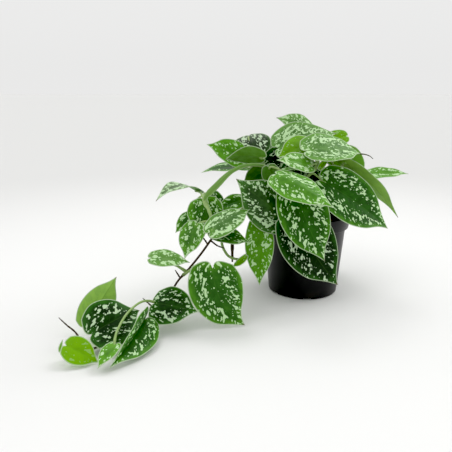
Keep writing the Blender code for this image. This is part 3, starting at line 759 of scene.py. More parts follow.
class Nodes:
    """Nodes put into a tree, with short names for those that are used often."""

    def __init__(self, tree):
        self.tree = tree

    def put(self, kind, inputs=None, **settings):
        """A node with its settings made and its inputs set or linked."""
        node = self.tree.nodes.new(kind)
        for key, value in settings.items():
            setattr(node, key, value)
        for key, value in (inputs or {}).items():
            self.join(value, node.inputs[key])
        return node

    def out(self, kind, inputs=None, **settings):
        """The first output of such a node."""
        return self.put(kind, inputs, **settings).outputs[0]

    def join(self, value, socket):
        if isinstance(value, bpy.types.NodeSocket):
            self.tree.links.new(value, socket)
        else:
            socket.default_value = value

    def math(self, operation, *values):
        return self.out("ShaderNodeMath", dict(enumerate(values)), operation=operation)

    def times(self, first, second):
        return self.math("MULTIPLY", first, second)

    def plus(self, first, second):
        return self.math("ADD", first, second)

    def line(self, value, slope, start):
        """The value on a straight line."""
        return self.math("MULTIPLY_ADD", value, slope, start)

    def vector(self, operation, *values):
        return self.out("ShaderNodeVectorMath", dict(enumerate(values)), operation=operation)

    def moved(self, place, x, y):
        """The place moved on, so that one noise gives several patterns."""
        return self.vector("ADD", place, (x, y, 0))

    def stretched(self, place, *factors):
        return self.vector("MULTIPLY", place, factors)

    def xyz(self, *values):
        return self.out("ShaderNodeCombineXYZ", dict(enumerate(values)))

    def ramp(self, value, low, high, first=0.0, last=1.0):
        """A smooth step of the value from low to high."""
        inputs = {0: value, 1: low, 2: high, 3: first, 4: last}
        return self.out("ShaderNodeMapRange", inputs, interpolation_type="SMOOTHSTEP")

    def mix(self, share, first, second):
        """A colour between two, by a share."""
        return self.put("ShaderNodeMix", {0: share, 6: first, 7: second}, data_type="RGBA").outputs[2]

    def noise(self, place, scale, detail=2.0):
        inputs = {"Vector": place, "Scale": scale, "Detail": detail}
        return self.put("ShaderNodeTexNoise", inputs).outputs["Fac"]


class Finish(Nodes):
    """A material put together from shader nodes."""

    def __init__(self, name):
        self.material = bpy.data.materials.new(name)
        self.material.use_nodes = True
        super().__init__(self.material.node_tree)
        self.shader = self.tree.nodes["Principled BSDF"]

    def attribute(self, name):
        """What a mesh carries under this name: all of it, and its three numbers."""
        source = self.put("ShaderNodeAttribute", attribute_name=name).outputs["Vector"]
        return source, *self.put("ShaderNodeSeparateXYZ", {0: source}).outputs

    def object_place(self):
        """The place on the piece, in millimetres."""
        place = self.put("ShaderNodeTexCoord").outputs["Object"]
        return self.stretched(place, *(1 / MM,) * 3)

    def bump(self, height, distance, strength=1.0):
        inputs = {"Height": height, "Distance": distance * MM, "Strength": strength}
        self.join(self.out("ShaderNodeBump", inputs), self.shader.inputs["Normal"])

    def done(self, colour, roughness, sheen):
        """The material, once its surface is set."""
        values = {"Base Color": colour, "Roughness": roughness, "Specular IOR Level": sheen}
        for key, value in values.items():
            self.join(value, self.shader.inputs[key])
        return self.material


def rgb(red, green, blue):
    return (red, green, blue, 1)


# The leaf's greens, from the darkest to the lime of a young leaf, and the film of silver over some, which is
# partly painted sheen
NEAR_BLACK = rgb(0.007, 0.025, 0.005)
DEEP_GREEN = rgb(0.028, 0.124, 0.011)
VIVID_GREEN = rgb(0.11, 0.33, 0.02)
LIME = rgb(0.2, 0.45, 0.008)
SILVER_FILM_AND_SHEEN = rgb(0.2, 0.31, 0.14)
PALE_RIM_AND_EDGE_HIGHLIGHT = rgb(0.52, 0.65, 0.43)
DRIED = rgb(0.11, 0.065, 0.03)
SCAR = rgb(0.13, 0.05, 0.02)

# A splash is where the noise stands above this level.
SPLASH_LEVEL = 0.62


def splash_mask(finish, base, rim, middle, silver):
    """Ragged silver islands of three sizes, in a band half way between the midrib and the rim."""
    share = finish.math("DIVIDE", middle, finish.plus(finish.plus(middle, rim), 0.2))
    band = finish.times(finish.ramp(share, 0.1, 0.42), finish.ramp(share, 0.97, 0.68))
    drift = finish.noise(finish.moved(base, 57, 91), 0.07, 1.0)
    lift = finish.line(band, 0.125, -0.115)
    lift = finish.plus(lift, finish.line(silver, 0.16, -0.08))
    lift = finish.plus(lift, finish.line(drift, 0.22, -0.11))

    def islands(place, scale, detail, extra, edge):
        level = finish.plus(finish.noise(place, scale, detail), finish.plus(lift, extra))
        return finish.ramp(level, SPLASH_LEVEL, SPLASH_LEVEL + edge)

    large = islands(finish.stretched(base, 0.92, 0.9, 0), 0.21, 1.2, 0.04, 0.018)
    small = islands(finish.moved(base, 31, 17), 0.36, 1.2, 0.01, 0.022)
    speck = islands(finish.moved(base, 71, 43), 1.1, 2.0, -0.07, 0.05)
    return finish.math("MAXIMUM", finish.math("MAXIMUM", large, small), finish.times(speck, 0.7))


def leaf_green(finish, mottle, rim, tone, silver, young):
    """The upper side between its splashes: mottled by the leaf's tone, its youth and its silver, lighter
    near the rim partly as painted light through the thin edge, and with a silver film that is partly painted
    sheen.
    """
    depth = finish.plus(tone, finish.line(mottle, 0.6, -0.3))
    # Lighter near the rim and darker further in: partly the leaf's own paler edge, partly painted light
    # shining through the thin margin.
    depth = finish.plus(depth, finish.ramp(rim, 0.5, 8.0, 0.24, -0.08))
    green = finish.mix(finish.ramp(depth, 0.0, 0.5), NEAR_BLACK, DEEP_GREEN)
    green = finish.mix(finish.ramp(depth, 0.4, 1.0), green, VIVID_GREEN)
    lime = finish.times(young, finish.ramp(mottle, 0.3, 0.65, 0.72, 0.95))
    green = finish.mix(lime, green, LIME)
    # Painted sheen: leaves given much silver get a pale film, partly their own silver wash and partly a
    # painted reflection of the bright sky on the upturned leaves.
    film_and_sheen = finish.times(finish.ramp(silver, 0.5, 0.95), finish.ramp(mottle, 0.3, 0.7, 0.35, 0.85))
    return finish.mix(film_and_sheen, green, SILVER_FILM_AND_SHEEN)


def leaf_back(finish, base, lines, tone, young):
    """The underside: pale and cloudy, with its veins showing."""
    fresh = finish.plus(finish.times(young, 0.65), finish.times(tone, 0.35))
    back = finish.mix(fresh, rgb(0.045, 0.17, 0.015), rgb(0.36, 0.64, 0.12))
    cloudy = finish.ramp(finish.noise(finish.stretched(base, 0.92, 0.9, 0), 0.16), 0.4, 0.62)
    back = finish.mix(finish.times(cloudy, 0.3), back, rgb(0.2, 0.42, 0.1))
    return finish.mix(finish.times(lines, 0.35), back, rgb(0.16, 0.33, 0.06))


def splash_colour(finish, base, tone):
    """The silver: grey on a dark leaf and greener on a lively one, glinting here and there."""
    glint = finish.noise(base, 1.4)
    lively = finish.ramp(tone, 0.1, 0.5)
    dull = finish.mix(lively, rgb(0.38, 0.52, 0.32), rgb(0.38, 0.62, 0.29))
    bright = finish.mix(lively, rgb(0.66, 0.84, 0.58), rgb(0.69, 0.93, 0.54))
    return finish.mix(glint, dull, bright)


def worn(finish, colour, base, ahead, seed):
    """The colour with some tips dried, and a blade scarred here and there."""
    dry = finish.ramp(finish.math("FRACT", finish.times(seed, 7.3)), 0.25, 0.55)
    dry = finish.times(dry, finish.ramp(ahead, 0.94, 0.99))
    colour = finish.mix(finish.times(dry, 0.85), colour, DRIED)
    scar = finish.ramp(finish.noise(finish.moved(base, 131, 7), 0.3, 3.0), 0.745, 0.775)
    return finish.mix(finish.times(scar, 0.75), colour, SCAR)


def leaf_finish():
    """The blades: deep green with silver splashes between the veins, a pale rim that is partly painted edge
    highlight, and a pale underside.
    """
    finish = Finish("splashed leaf")
    place, across_veins, _, seed = finish.attribute("vein_place")
    _, rim, middle, under = finish.attribute("blade_place")
    _, tone, silver, young = finish.attribute("leaf_look")
    _, ahead, _, _ = finish.attribute("tip_place")

    # Each leaf reads the noises at its own place, and the pattern slants away from the midrib.
    own = finish.stretched(finish.xyz(seed, seed), 411, 173, 0)
    slant = finish.xyz(finish.times(middle, 0.33))
    base = finish.vector("ADD", finish.vector("ADD", finish.stretched(place, 1, 1, 0), slant), own)
    mottle = finish.noise(base, 0.12)

    splash = splash_mask(finish, base, rim, middle, silver)
    splash = finish.times(splash, finish.math("SUBTRACT", 1.0, under))
    splash = finish.times(splash, finish.ramp(young, 0.2, 0.9, 1.0, 0.3))

    phase = finish.math("FRACT", finish.math("DIVIDE", across_veins, VEIN_GAP))
    off = finish.math("ABSOLUTE", finish.math("SUBTRACT", phase, 0.5))
    vein = finish.times(finish.ramp(off, 0.0, 0.09, 1.0, 0.0), finish.ramp(middle, 0.6, 2.0))
    rib = finish.ramp(middle, 0.2, 0.7, 1.0, 0.0)
    green = leaf_green(finish, mottle, rim, tone, silver, young)
    green = finish.mix(finish.times(vein, 0.07), green, rgb(0.12, 0.28, 0.04))
    green = finish.mix(finish.times(rib, 0.1), green, rgb(0.14, 0.32, 0.05))

    top = finish.mix(splash, green, splash_colour(finish, base, tone))
    lines = finish.math("MAXIMUM", finish.times(vein, 0.4), rib)
    colour = finish.mix(under, top, leaf_back(finish, base, lines, tone, young))
    # The pale rim is partly the leaf's own pale margin and partly a painted highlight along its edge.
    border = finish.ramp(rim, 0.4, 0.95, 1.0, 0.0)
    colour = finish.mix(finish.times(border, 0.85), colour, PALE_RIM_AND_EDGE_HIGHLIGHT)
    colour = worn(finish, colour, base, ahead, seed)

    gloss = finish.plus(finish.line(splash, 0.1, 0.36), finish.times(under, 0.12))
    gloss = finish.plus(gloss, finish.line(mottle, 0.08, -0.04))
    pores = finish.noise(finish.object_place(), 2.6)
    height = finish.plus(finish.times(pores, 0.5), finish.times(splash, 0.35))
    height = finish.math("SUBTRACT", height, finish.times(vein, 0.6))
    finish.bump(height, 0.16, 0.7)
    return finish.done(colour, gloss, 0.17)


def stem_finish():
    """The stems, stalks and air roots: fresh green skin that turns brown and corky with age."""
    finish = Finish("stem skin")
    _, age, along, seed = finish.attribute("stem_look")
    place = finish.object_place()
    patch = finish.noise(place, 0.22, 3.0)
    streak = finish.noise(finish.xyz(finish.times(along, 0.12), seed), 3.0, 3.0)
    old = finish.plus(age, finish.line(patch, 0.5, -0.25))
    fresh = finish.mix(patch, rgb(0.24, 0.4, 0.1), rgb(0.42, 0.56, 0.25))
    bark = finish.mix(streak, rgb(0.018, 0.013, 0.009), rgb(0.1, 0.068, 0.038))
    colour = finish.mix(finish.ramp(old, 0.15, 0.45), fresh, rgb(0.1, 0.13, 0.045))
    colour = finish.mix(finish.ramp(old, 0.45, 0.85), colour, bark)
    finish.bump(finish.noise(place, 1.3, 3.0), 0.25, 0.6)
    return finish.done(colour, finish.ramp(old, 0.2, 0.9, 0.42, 0.8), 0.3)


def sheath_finish():
    """A young sheath's skin: yellow green, with pale streaks along it and a paler rim."""
    finish = Finish("sheath skin")
    _, _, along, aside = finish.attribute("stem_look")
    streak = finish.noise(finish.xyz(finish.times(along, 0.05), aside), 1.1)
    edge = finish.ramp(finish.math("ABSOLUTE", aside), 3.0, 6.0)
    streak = finish.ramp(streak, 0.35, 0.65)
    colour = finish.mix(streak, rgb(0.1, 0.25, 0.03), rgb(0.2, 0.36, 0.085))
    colour = finish.mix(finish.times(edge, 0.6), colour, rgb(0.34, 0.5, 0.22))
    finish.bump(finish.noise(finish.object_place(), 1.6), 0.2, 0.5)
    return finish.done(colour, 0.42, 0.3)


def pot_finish():
    """Black moulded plastic: satin, finely grained, with faint rubs and a little dust at the foot."""
    finish = Finish("black pot plastic")
    place = finish.object_place()
    grain = finish.noise(place, 3.2)
    cloud = finish.noise(place, 0.05, 3.0)
    rubs = finish.noise(finish.stretched(place, 0.5, 0.5, 3.2), 0.35, 3.0)
    rub = finish.ramp(rubs, 0.6, 0.78)
    level = finish.put("ShaderNodeSeparateXYZ", {0: place}).outputs[2]
    dust = finish.times(finish.ramp(level, 0.0, 16.0, 1.0, 0.0), finish.ramp(cloud, 0.42, 0.7))
    colour = finish.mix(finish.times(rub, 0.35), rgb(0.0035, 0.0035, 0.0042), rgb(0.012, 0.012, 0.013))
    colour = finish.mix(finish.times(dust, 0.25), colour, rgb(0.05, 0.042, 0.034))
    gloss = finish.plus(finish.line(cloud, 0.16, 0.27), finish.times(rub, 0.08))
    finish.bump(finish.plus(grain, finish.times(rubs, 0.6)), 0.05, 0.5)
    return finish.done(colour, gloss, 0.3)


def earthy_finish(name, dark, light, scale):
    """Soil, bark or mineral grains, mottled between two colours."""
    finish = Finish(name)
    place = finish.object_place()
    patch = finish.ramp(finish.noise(place, scale, 4.0), 0.3, 0.7)
    finish.bump(finish.noise(place, scale * 3, 3.0), 0.5, 0.9)
    return finish.done(finish.mix(patch, dark, light), 0.9, 0.2)


def floor_finish():
    """Pale paper under the plant, painted greyer far off as the studio light's fall-off, so it is brightest
    in a painted pool of light round the plant.
    """
    finish = Finish("pale floor")
    place = finish.put("ShaderNodeTexCoord").outputs["Object"]
    far = finish.put("ShaderNodeVectorMath", {0: place}, operation="LENGTH").outputs["Value"]
    cloud = finish.noise(place, 2.5)
    paper = finish.mix(cloud, rgb(0.855, 0.855, 0.845), rgb(0.875, 0.875, 0.865))
    # Painted light: the paper darkens with distance from the plant to stand in for the light falling off.
    colour = finish.mix(finish.ramp(far, 0.15, 1.0), paper, rgb(0.69, 0.69, 0.68))
    return finish.done(colour, 0.8, 0.0)


class Tree(Nodes):
    """A Geometry Nodes tree with named inputs, built node by node."""

    def __init__(self, name, **inputs):
        super().__init__(bpy.data.node_groups.new(name, "GeometryNodeTree"))
        side = self.tree.interface
        inputs = {"Geometry": "Geometry", **inputs, "Material": "Material"}
        self.keys = {}
        for label, kind in inputs.items():
            socket = side.new_socket(label, in_out="INPUT", socket_type=f"NodeSocket{kind}")
            self.keys[label] = socket.identifier
        side.new_socket("Geometry", in_out="OUTPUT", socket_type="NodeSocketGeometry")
        self.given = self.tree.nodes.new("NodeGroupInput").outputs
        self.end = self.tree.nodes.new("NodeGroupOutput").inputs["Geometry"]

    def circle(self, radius):
        inputs = {"Resolution": self.given["Sides"], "Radius": radius}
        return self.out("GeometryNodeCurvePrimitiveCircle", inputs)

    def random(self, low, high, seed):
        inputs = {"Min": low, "Max": high, "Seed": seed}
        return self.out("FunctionNodeRandomValue", inputs, data_type="FLOAT_VECTOR")

    def finish(self, geometry):
        """Ends the tree in real meshes with their material set."""
        real = self.out("GeometryNodeRealizeInstances", {"Geometry": geometry})
        inputs = {"Geometry": real, "Material": self.given["Material"]}
        self.join(self.out("GeometryNodeSetMaterial", inputs), self.end)

    def run(self, holder, values):
        """The plain mesh that the tree makes of the holder's own, which it then replaces."""
        modifier = holder.modifiers.new("nodes", "NODES")
        modifier.node_group = self.tree
        for label, value in values.items():
            modifier[self.keys[label]] = value
        take_result(holder, modifier)
        dress(holder.data, values["Material"])
        return holder


def tube_tree():
    """Tubes along paths, each as thick as its points say."""
    tree = Tree("tubes along paths", Sides="Int")
    path = tree.out("GeometryNodeMeshToCurve", {"Mesh": tree.given["Geometry"]})
    thick = tree.out("GeometryNodeInputNamedAttribute", {"Name": "thickness"}, data_type="FLOAT")
    inputs = {"Curve": path, "Profile Curve": tree.circle(1.0), "Scale": thick, "Fill Caps": True}
    tree.finish(tree.out("GeometryNodeCurveToMesh", inputs))
    return tree


def grain_tree():
    """Grains strewn over a surface, each a small lump squashed and turned its own way."""
    sizes = {"Grain size": "Float", "Flatness": "Float", "Spacing": "Float", "Seed": "Int"}
    tree = Tree("grains on a surface", **sizes)
    given = tree.given
    strewn = {
        "Mesh": given["Geometry"],
        "Distance Min": given["Spacing"],
        "Density Max": GRAIN_DENSITY,
        "Seed": given["Seed"],
    }
    points = tree.out("GeometryNodeDistributePointsOnFaces", strewn, distribute_method="POISSON")
    ball = tree.out("GeometryNodeMeshIcoSphere", {"Radius": 1.0, "Subdivisions": 1})
    crooked = tree.random((-0.28,) * 3, (0.28,) * 3, given["Seed"])
    lump = tree.out("GeometryNodeSetPosition", {"Geometry": ball, "Offset": crooked})
    turn = tree.random((-0.5, -0.5, 0.0), (0.5, 0.5, 6.3), 3)
    spread = tree.random((0.5, 0.6, 0.5), (1.2, 1.5, 1.0), 5)
    size = tree.vector("MULTIPLY", spread, tree.xyz(1.0, 1.0, given["Flatness"]))
    size = tree.out("ShaderNodeVectorMath", {0: size, "Scale": given["Grain size"]}, operation="SCALE")
    placed = {"Points": points, "Instance": lump, "Rotation": turn, "Scale": size}
    tree.finish(tree.out("GeometryNodeInstanceOnPoints", placed))
    return tree


def turning_tree():
    """A turned body: the piece's own row of points, X as radius and Y as height, taken round Z."""
    tree = Tree("turned body", Sides="Int")
    profile = tree.out("GeometryNodeMeshToCurve", {"Mesh": tree.given["Geometry"]})
    upright = tree.out("GeometryNodeSetCurveNormal", {"Curve": tree.circle(AXIS_RADIUS)}, mode="Z_UP")
    inputs = {"Curve": upright, "Profile Curve": profile, "Scale": 1.0, "Fill Caps": False}
    turned = tree.out("GeometryNodeCurveToMesh", inputs)
    tree.finish(tree.out("GeometryNodeMergeByDistance", {"Geometry": turned, "Distance": 4 * AXIS_RADIUS}))
    return tree


def dress(mesh, finish):
    """Gives every face of the mesh this one finish."""
    mesh.materials.clear()
    mesh.materials.append(finish)
    mesh.polygons.foreach_set("material_index", np.zeros(len(mesh.polygons), np.int32))


def keep_points(mesh, name, values):
    """Three numbers for each of the mesh's points, for its material to read."""
    store = mesh.attributes.new(name, "FLOAT_VECTOR", "POINT")
    store.data.foreach_set("vector", np.asarray(values, np.float32).ravel())


def finish_piece(piece, node):
    """Smooth shading, and the piece's place in the frame."""
    piece.data.shade_smooth()
    piece.data.set_sharp_from_angle(angle=math.radians(SHARP_ANGLE))
    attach(piece, "root")
    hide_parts(node)


def shell_faces(rows, columns, pointed):
    """Faces of a closed shell of two layers, each a grid of points, with one more at its tip if pointed."""
    cells = [row * columns + column for row in range(rows - 1) for column in range(columns - 1)]
    front = [(a, a + 1, a + columns + 1, a + columns) for a in cells]
    last, point = (rows - 1) * columns, rows * columns
    if pointed:
        front += [(last + column, last + column + 1, point) for column in range(columns - 1)]
    count = point + pointed
    back = [tuple(corner + count for corner in face[::-1]) for face in front]
    border = grid_border(rows, columns, [point] if pointed else list(range(point - 2, last, -1)))
    sides = [(b, a, a + count, b + count) for a, b in zip(border, border[1:] + border[:1])]
    return front + back + sides


def drawn_in(along):
    """How much narrower the blade is near its tip, which is drawn out to a fine point."""
    share = np.clip((along - TIP_START) / (TIP_END - TIP_START), 0, 1)
    return 1 - TIP_DRAW * share**2 * (3 - 2 * share)


def rim_distance(leaf, aside, ahead):
    """How far each place of the flat blade is from its rim."""
    along, base = np.linspace(0, 1, RIM_SIDE_POINTS), np.linspace(-1, 1, RIM_BASE_POINTS)
    rows = [(along, drawn_in(along)), (along, -drawn_in(along)), (0 * base, base)]
    edge = np.concatenate([np.stack(flat_place(leaf, *row), axis=1) for row in rows])
    gaps = np.stack((aside, ahead), axis=1)[:, None] - edge[None]
    return np.sqrt((gaps**2).sum(axis=2)).min(axis=1)


def fine_blade(leaf, look, seed):
    """A leaf's closed blade with its midrib, quilting and wavy rim, and the numbers its finish reads."""
    columns, rows = len(FINE_ACROSS), len(FINE_ALONG)
    along = np.append(np.repeat(FINE_ALONG, columns), 1.0)
    across = np.append(np.tile(FINE_ACROSS, rows), 0.0)
    drawn = across * drawn_in(along)
    middle = blade_points(leaf, along, drawn)
    aside, ahead = flat_place(leaf, along, drawn)
    length, _, _ = blade_axes(leaf)
    rim = rim_distance(leaf, aside, ahead)
    count = len(middle)

    faces = shell_faces(rows, columns, True)
    front = [face for face in faces if max(face) < count]
    quads = [face for face in front if len(face) == 4]
    halves = [half for a, b, c, d in quads for half in ((a, b, d), (b, c, d))]
    normals = vertex_normals(middle, np.array(halves + front[len(quads) :]))

    veins = ahead - VEIN_SLOPE * np.abs(aside) - VEIN_CURVE * aside**2
    fade = np.clip(rim / 4, 0, 1) * np.clip(np.abs(aside) / 3, 0, 1)
    quilt = QUILT_DEPTH * np.sin(2 * math.pi * veins * QUILTS / length + 6 * seed) * fade
    sway = np.sin(2 * math.pi * (RIM_WAVES * along + seed) + np.where(across < 0, 2.0, 0.0))
    calm = np.clip(4 * along, 0, 1) * np.clip(4 - 4 * along, 0, 1)
    wave = RIM_WAVE * min(1.0, length / LONG_LEAF) * np.abs(across) ** 3 * sway * calm
    rib = MIDRIB_DEPTH * np.exp(-((aside / MIDRIB_WIDTH) ** 2)) * (1 - along) ** 0.5
    half = 0.5 * (BLADE_RIM + (BLADE_BODY - BLADE_RIM) * np.clip(rim / RIM_BEVEL, 0, 1))
    top = middle + normals * (quilt + wave + half - 0.7 * rib)[:, None]
    back = middle + normals * (quilt + wave - half - 1.3 * rib)[:, None]

    place = np.stack((veins, aside * 1.15, np.full(count, seed)), axis=1)
    from_rim = [np.stack((rim, np.abs(aside), np.full(count, under)), axis=1) for under in (0, 1)]
    numbers = {
        "vein_place": np.concatenate((place, place)),
        "blade_place": np.concatenate(from_rim),
        "leaf_look": np.tile(look, (2 * count, 1)),
        "tip_place": np.outer(np.tile(along, 2), (1, 0, 0)),
    }
    return np.concatenate((top, back)), faces, numbers


def joined_object(name, solids, finish):
    """One object from several solids and the numbers that their points carry."""
    points = np.concatenate([solid[0] for solid in solids])
    faces, start = [], 0
    for corners, parts, _ in solids:
        faces += [tuple(corner + start for corner in part) for part in parts]
        start += len(corners)
    made = mesh_object(name, (points, faces), finish)
    for key in solids[0][2]:
        keep_points(made.data, key, np.concatenate([solid[2][key] for solid in solids]))
    return made


def make_leaves(vine, grown, number, finish):
    """The blades of one leafy stem, each with its own look and its own place in the splashes."""
    looks = LEAF_LOOKS.get(vine.name, (PLAIN_LOOK,) * len(grown))
    solids = []
    for k, ((row, _), look) in enumerate(zip(grown, looks)):
        solids.append(fine_blade(row, look, (0.37 * number + 0.61 * k) % 1))
    piece = joined_object(f"{vine.name}_leaves", solids, finish)
    finish_piece(piece, vine.name)


def make_sheath(vine, finish):
    """The pale, ribbed sheath that wraps the outer side of the arching stem and ends in a blunt point."""
    route = smooth_route(vine.route, 3 * FINE_SPANS)
    first, last = (round(share * (len(route) - 1)) for share in SHEATH_ENDS)
    spine = route[first : last + 1]
    tangents = units(np.gradient(spine, axis=0))
    share = np.linspace(0, 1, len(spine))
    widths = np.interp(share, *zip(*SHEATH_WIDTHS))
    across = units(np.cross(tangents, DEPTH))
    outward = np.cross(tangents, across)
    outward *= np.sign(-(outward @ DEPTH))[:, None]
    steps = np.linspace(-1, 1, SHEATH_COLUMNS)
    aside = np.outer(widths / 2, steps)
    ribs = np.outer(np.clip(widths / 4, 0, 1), SHEATH_RIB_HEIGHT * np.cos(math.pi * SHEATH_RIBS * steps))
    stand = vine.radius + SHEATH_GAP - SHEATH_CURL * aside**2 + ribs
    thin = np.clip(1.15 - np.abs(steps), 0.3, 1)[None] * np.clip(widths / 2, 0.5, 1)[:, None]

    def layer(height):
        points = spine[:, None] + across[:, None] * aside[..., None] + outward[:, None] * height[..., None]
        return points.reshape(-1, 3)

    layers = [layer(stand + way * SHEATH_THICK * thin / 2) for way in (-1, 1)]
    faces = shell_faces(len(spine), SHEATH_COLUMNS, False)
    made = mesh_object("arching_sheath", (np.concatenate(layers), faces), finish)
    ahead, off = np.repeat(share, SHEATH_COLUMNS), np.tile(steps, len(spine))
    look = np.stack((0 * ahead, SHEATH_PATTERN[0] * ahead, SHEATH_PATTERN[1] * off), axis=1)
    keep_points(made.data, "stem_look", np.concatenate((look, look)))
    finish_piece(made, vine.name)


def path_object(name, paths):
    """An object of bare paths for the tube tree. A path is its points, their radii and their age."""
    points, edges, radii, looks = [], [], [], []
    for number, (route, thickness, age) in enumerate(paths):
        edges += chain(len(points), len(route))
        points += list(route)
        radii += list(np.asarray(thickness) * MM)
        gone = np.concatenate(((0,), np.cumsum(np.linalg.norm(np.diff(route, axis=0), axis=1))))
        looks += [(years, distance, number * PATH_SHIFT) for years, distance in zip(age, gone)]
    made = mesh_object(name, (np.array(points), ()), edges=edges)
    made.data.attributes.new("thickness", "FLOAT", "POINT").data.foreach_set("value", radii)
    keep_points(made.data, "stem_look", looks)
    return made


def knotted(route, radii, joints):
    """The stem's radii, with a low swelling and a ring at each of its joints."""
    gaps = np.linalg.norm(route[:, None] - np.array(joints)[None], axis=2).min(axis=1)
    return radii * (1 + KNOT_HEIGHT * np.exp(-((gaps / KNOT_WIDTH) ** 2)))


def stalk_path(row, path, age):
    """A leaf's stalk, thick at both ends, whose own end sinks into the blade from behind."""
    _, _, normal = blade_axes(row)
    stalk = smooth_route(path, FINE_SPANS)
    share = np.linspace(0, 1, len(stalk))
    stalk = stalk - np.outer(np.clip((share - 0.8) / 0.2, 0, 1) ** 2 * STALK_DROP, normal)
    foot, neck = np.exp(-((share / 0.16) ** 2)), np.exp(-(((share - 0.9) / 0.07) ** 2))
    thick = STALK_RADIUS * (0.92 + 0.55 * foot + 0.16 * neck) * np.where(share > 0.96, 0.6, 1.0)
    return stalk, thick, np.clip(0.34 * age * np.exp(-share * 7), 0, 1)


def root_path(root):
    """A dark air root that narrows towards its end."""
    hair = smooth_route(root.route, FINE_SPANS)
    bumps = 1 + 0.12 * np.sin(np.arange(len(hair)) * 1.9)
    narrowing = 1 - 0.6 * np.linspace(0, 1, len(hair)) ** 2.5
    return hair, (root.radius + ROOT_SWELL) * narrowing * bumps, np.full(len(hair), ROOT_AGE)


def drip_path(tip, offsets):
    """The dry point that draws a leaf's tip out."""
    point = smooth_route(tip + np.array(offsets), FINE_SPANS)
    share = np.linspace(0, 1, len(point))
    thick = np.interp(share, np.linspace(0, 1, len(DRIP_RADII)), DRIP_RADII)
    return point, thick, np.linspace(0.5, 0.8, len(point))


def make_stems(vine, grown, tubes, finish):
    """The vine's stem, the stalks of its leaves and its air roots."""
    age = STEM_AGES.get(vine.name, STEM_AGE)
    joints = [path[0] for _, path in grown]
    route = smooth_route(vine.route, 3 * FINE_SPANS)
    radii = knotted(route, tapered(vine.radius, vine.radius * STEM_NARROW, len(route)), joints)
    fade = np.clip(np.linspace(age + 0.15, age - 0.12, len(route)), 0, 1)
    paths = [(route, radii * STEM_SLIMNESS.get(vine.name, 1), fade)]
    paths += [stalk_path(row, path, age) for row, path in grown]
    paths += [root_path(root) for root in vine.roots]
    if vine.name in DRIP_TIPS:
        row, offsets = DRIP_TIPS[vine.name]
        paths.append(drip_path(grown[row][0].tip, offsets))
    piece = tubes.run(path_object(f"{vine.name}_stems", paths), {"Sides": TUBE_SIDES, "Material": finish})
    finish_piece(piece, vine.name)


def rounded(profile, radius):
    """The profile with its corners turned into small curves."""
    points = [np.array(profile[0], float)]
    for before, corner, after in zip(profile, profile[1:], profile[2:]):
        before, corner, after = (np.array(point, float) for point in (before, corner, after))
        near = min(radius, 0.4 * np.linalg.norm(before - corner), 0.4 * np.linalg.norm(after - corner))
        start, end = corner + unit(before - corner) * near, corner + unit(after - corner) * near
        for t in np.linspace(0, 1, CORNER_STEPS + 1):
            points.append((1 - t) ** 2 * start + 2 * t * (1 - t) * corner + t**2 * end)
    return points + [np.array(profile[-1], float)]


def drain_cutter(out):
    """A rod through the pot's floor, off its middle in this direction."""
    levels = (-2, POT_FLOOR + POT_FLOOR_RISE + 2)
    route = np.array([DRAIN_CIRCLE * out + (0, 0, level) for level in levels])
    return mesh_object("drain", tube_solid(route, (DRAIN_RADIUS, DRAIN_RADIUS), DRAIN_SIDES))


def notch_cutter(out):
    """A block through the pot's foot in this direction."""
    across = np.array((-out[1], out[0], 0)) * FOOT_NOTCH_WIDTH / 2
    reach = (POT_BASE_RADIUS - POT_FOOT_WIDTH - 2, POT_BASE_RADIUS + 2)
    ends = [out * far + (0, 0, level) for level in (-1, FOOT_NOTCH_HEIGHT) for far in reach]
    corners = [end + way * across for end in ends for way in (-1, 1)]
    box = [(0, 1, 3, 2), (4, 6, 7, 5), (0, 4, 5, 1), (2, 3, 7, 6), (0, 2, 6, 4), (1, 5, 7, 3)]
    return mesh_object("notch", (np.array(corners), box))


def make_pot(finish):
    """The nursery pot, turned from its rounded profile, with its drain holes and foot notches cut."""
    profile = rounded(pot_profile(), CORNER_ROUND)
    points = np.array([(radius, -height, 0) for radius, height in reversed(profile)])
    pot = mesh_object("pot_body", (points, ()), edges=chain(0, len(points)))
    turning_tree().run(pot, {"Sides": POT_FINE_SIDES, "Material": finish})
    cutters = []
    for k in range(DRAIN_HOLES):
        turn = 2 * math.pi * (k + 0.5) / DRAIN_HOLES
        out = np.array((math.cos(turn), math.sin(turn), 0))
        cutters += [drain_cutter(out), notch_cutter(out)]
    cut(pot, cutters)
    dress(pot.data, finish)
    finish_piece(pot, "pot")


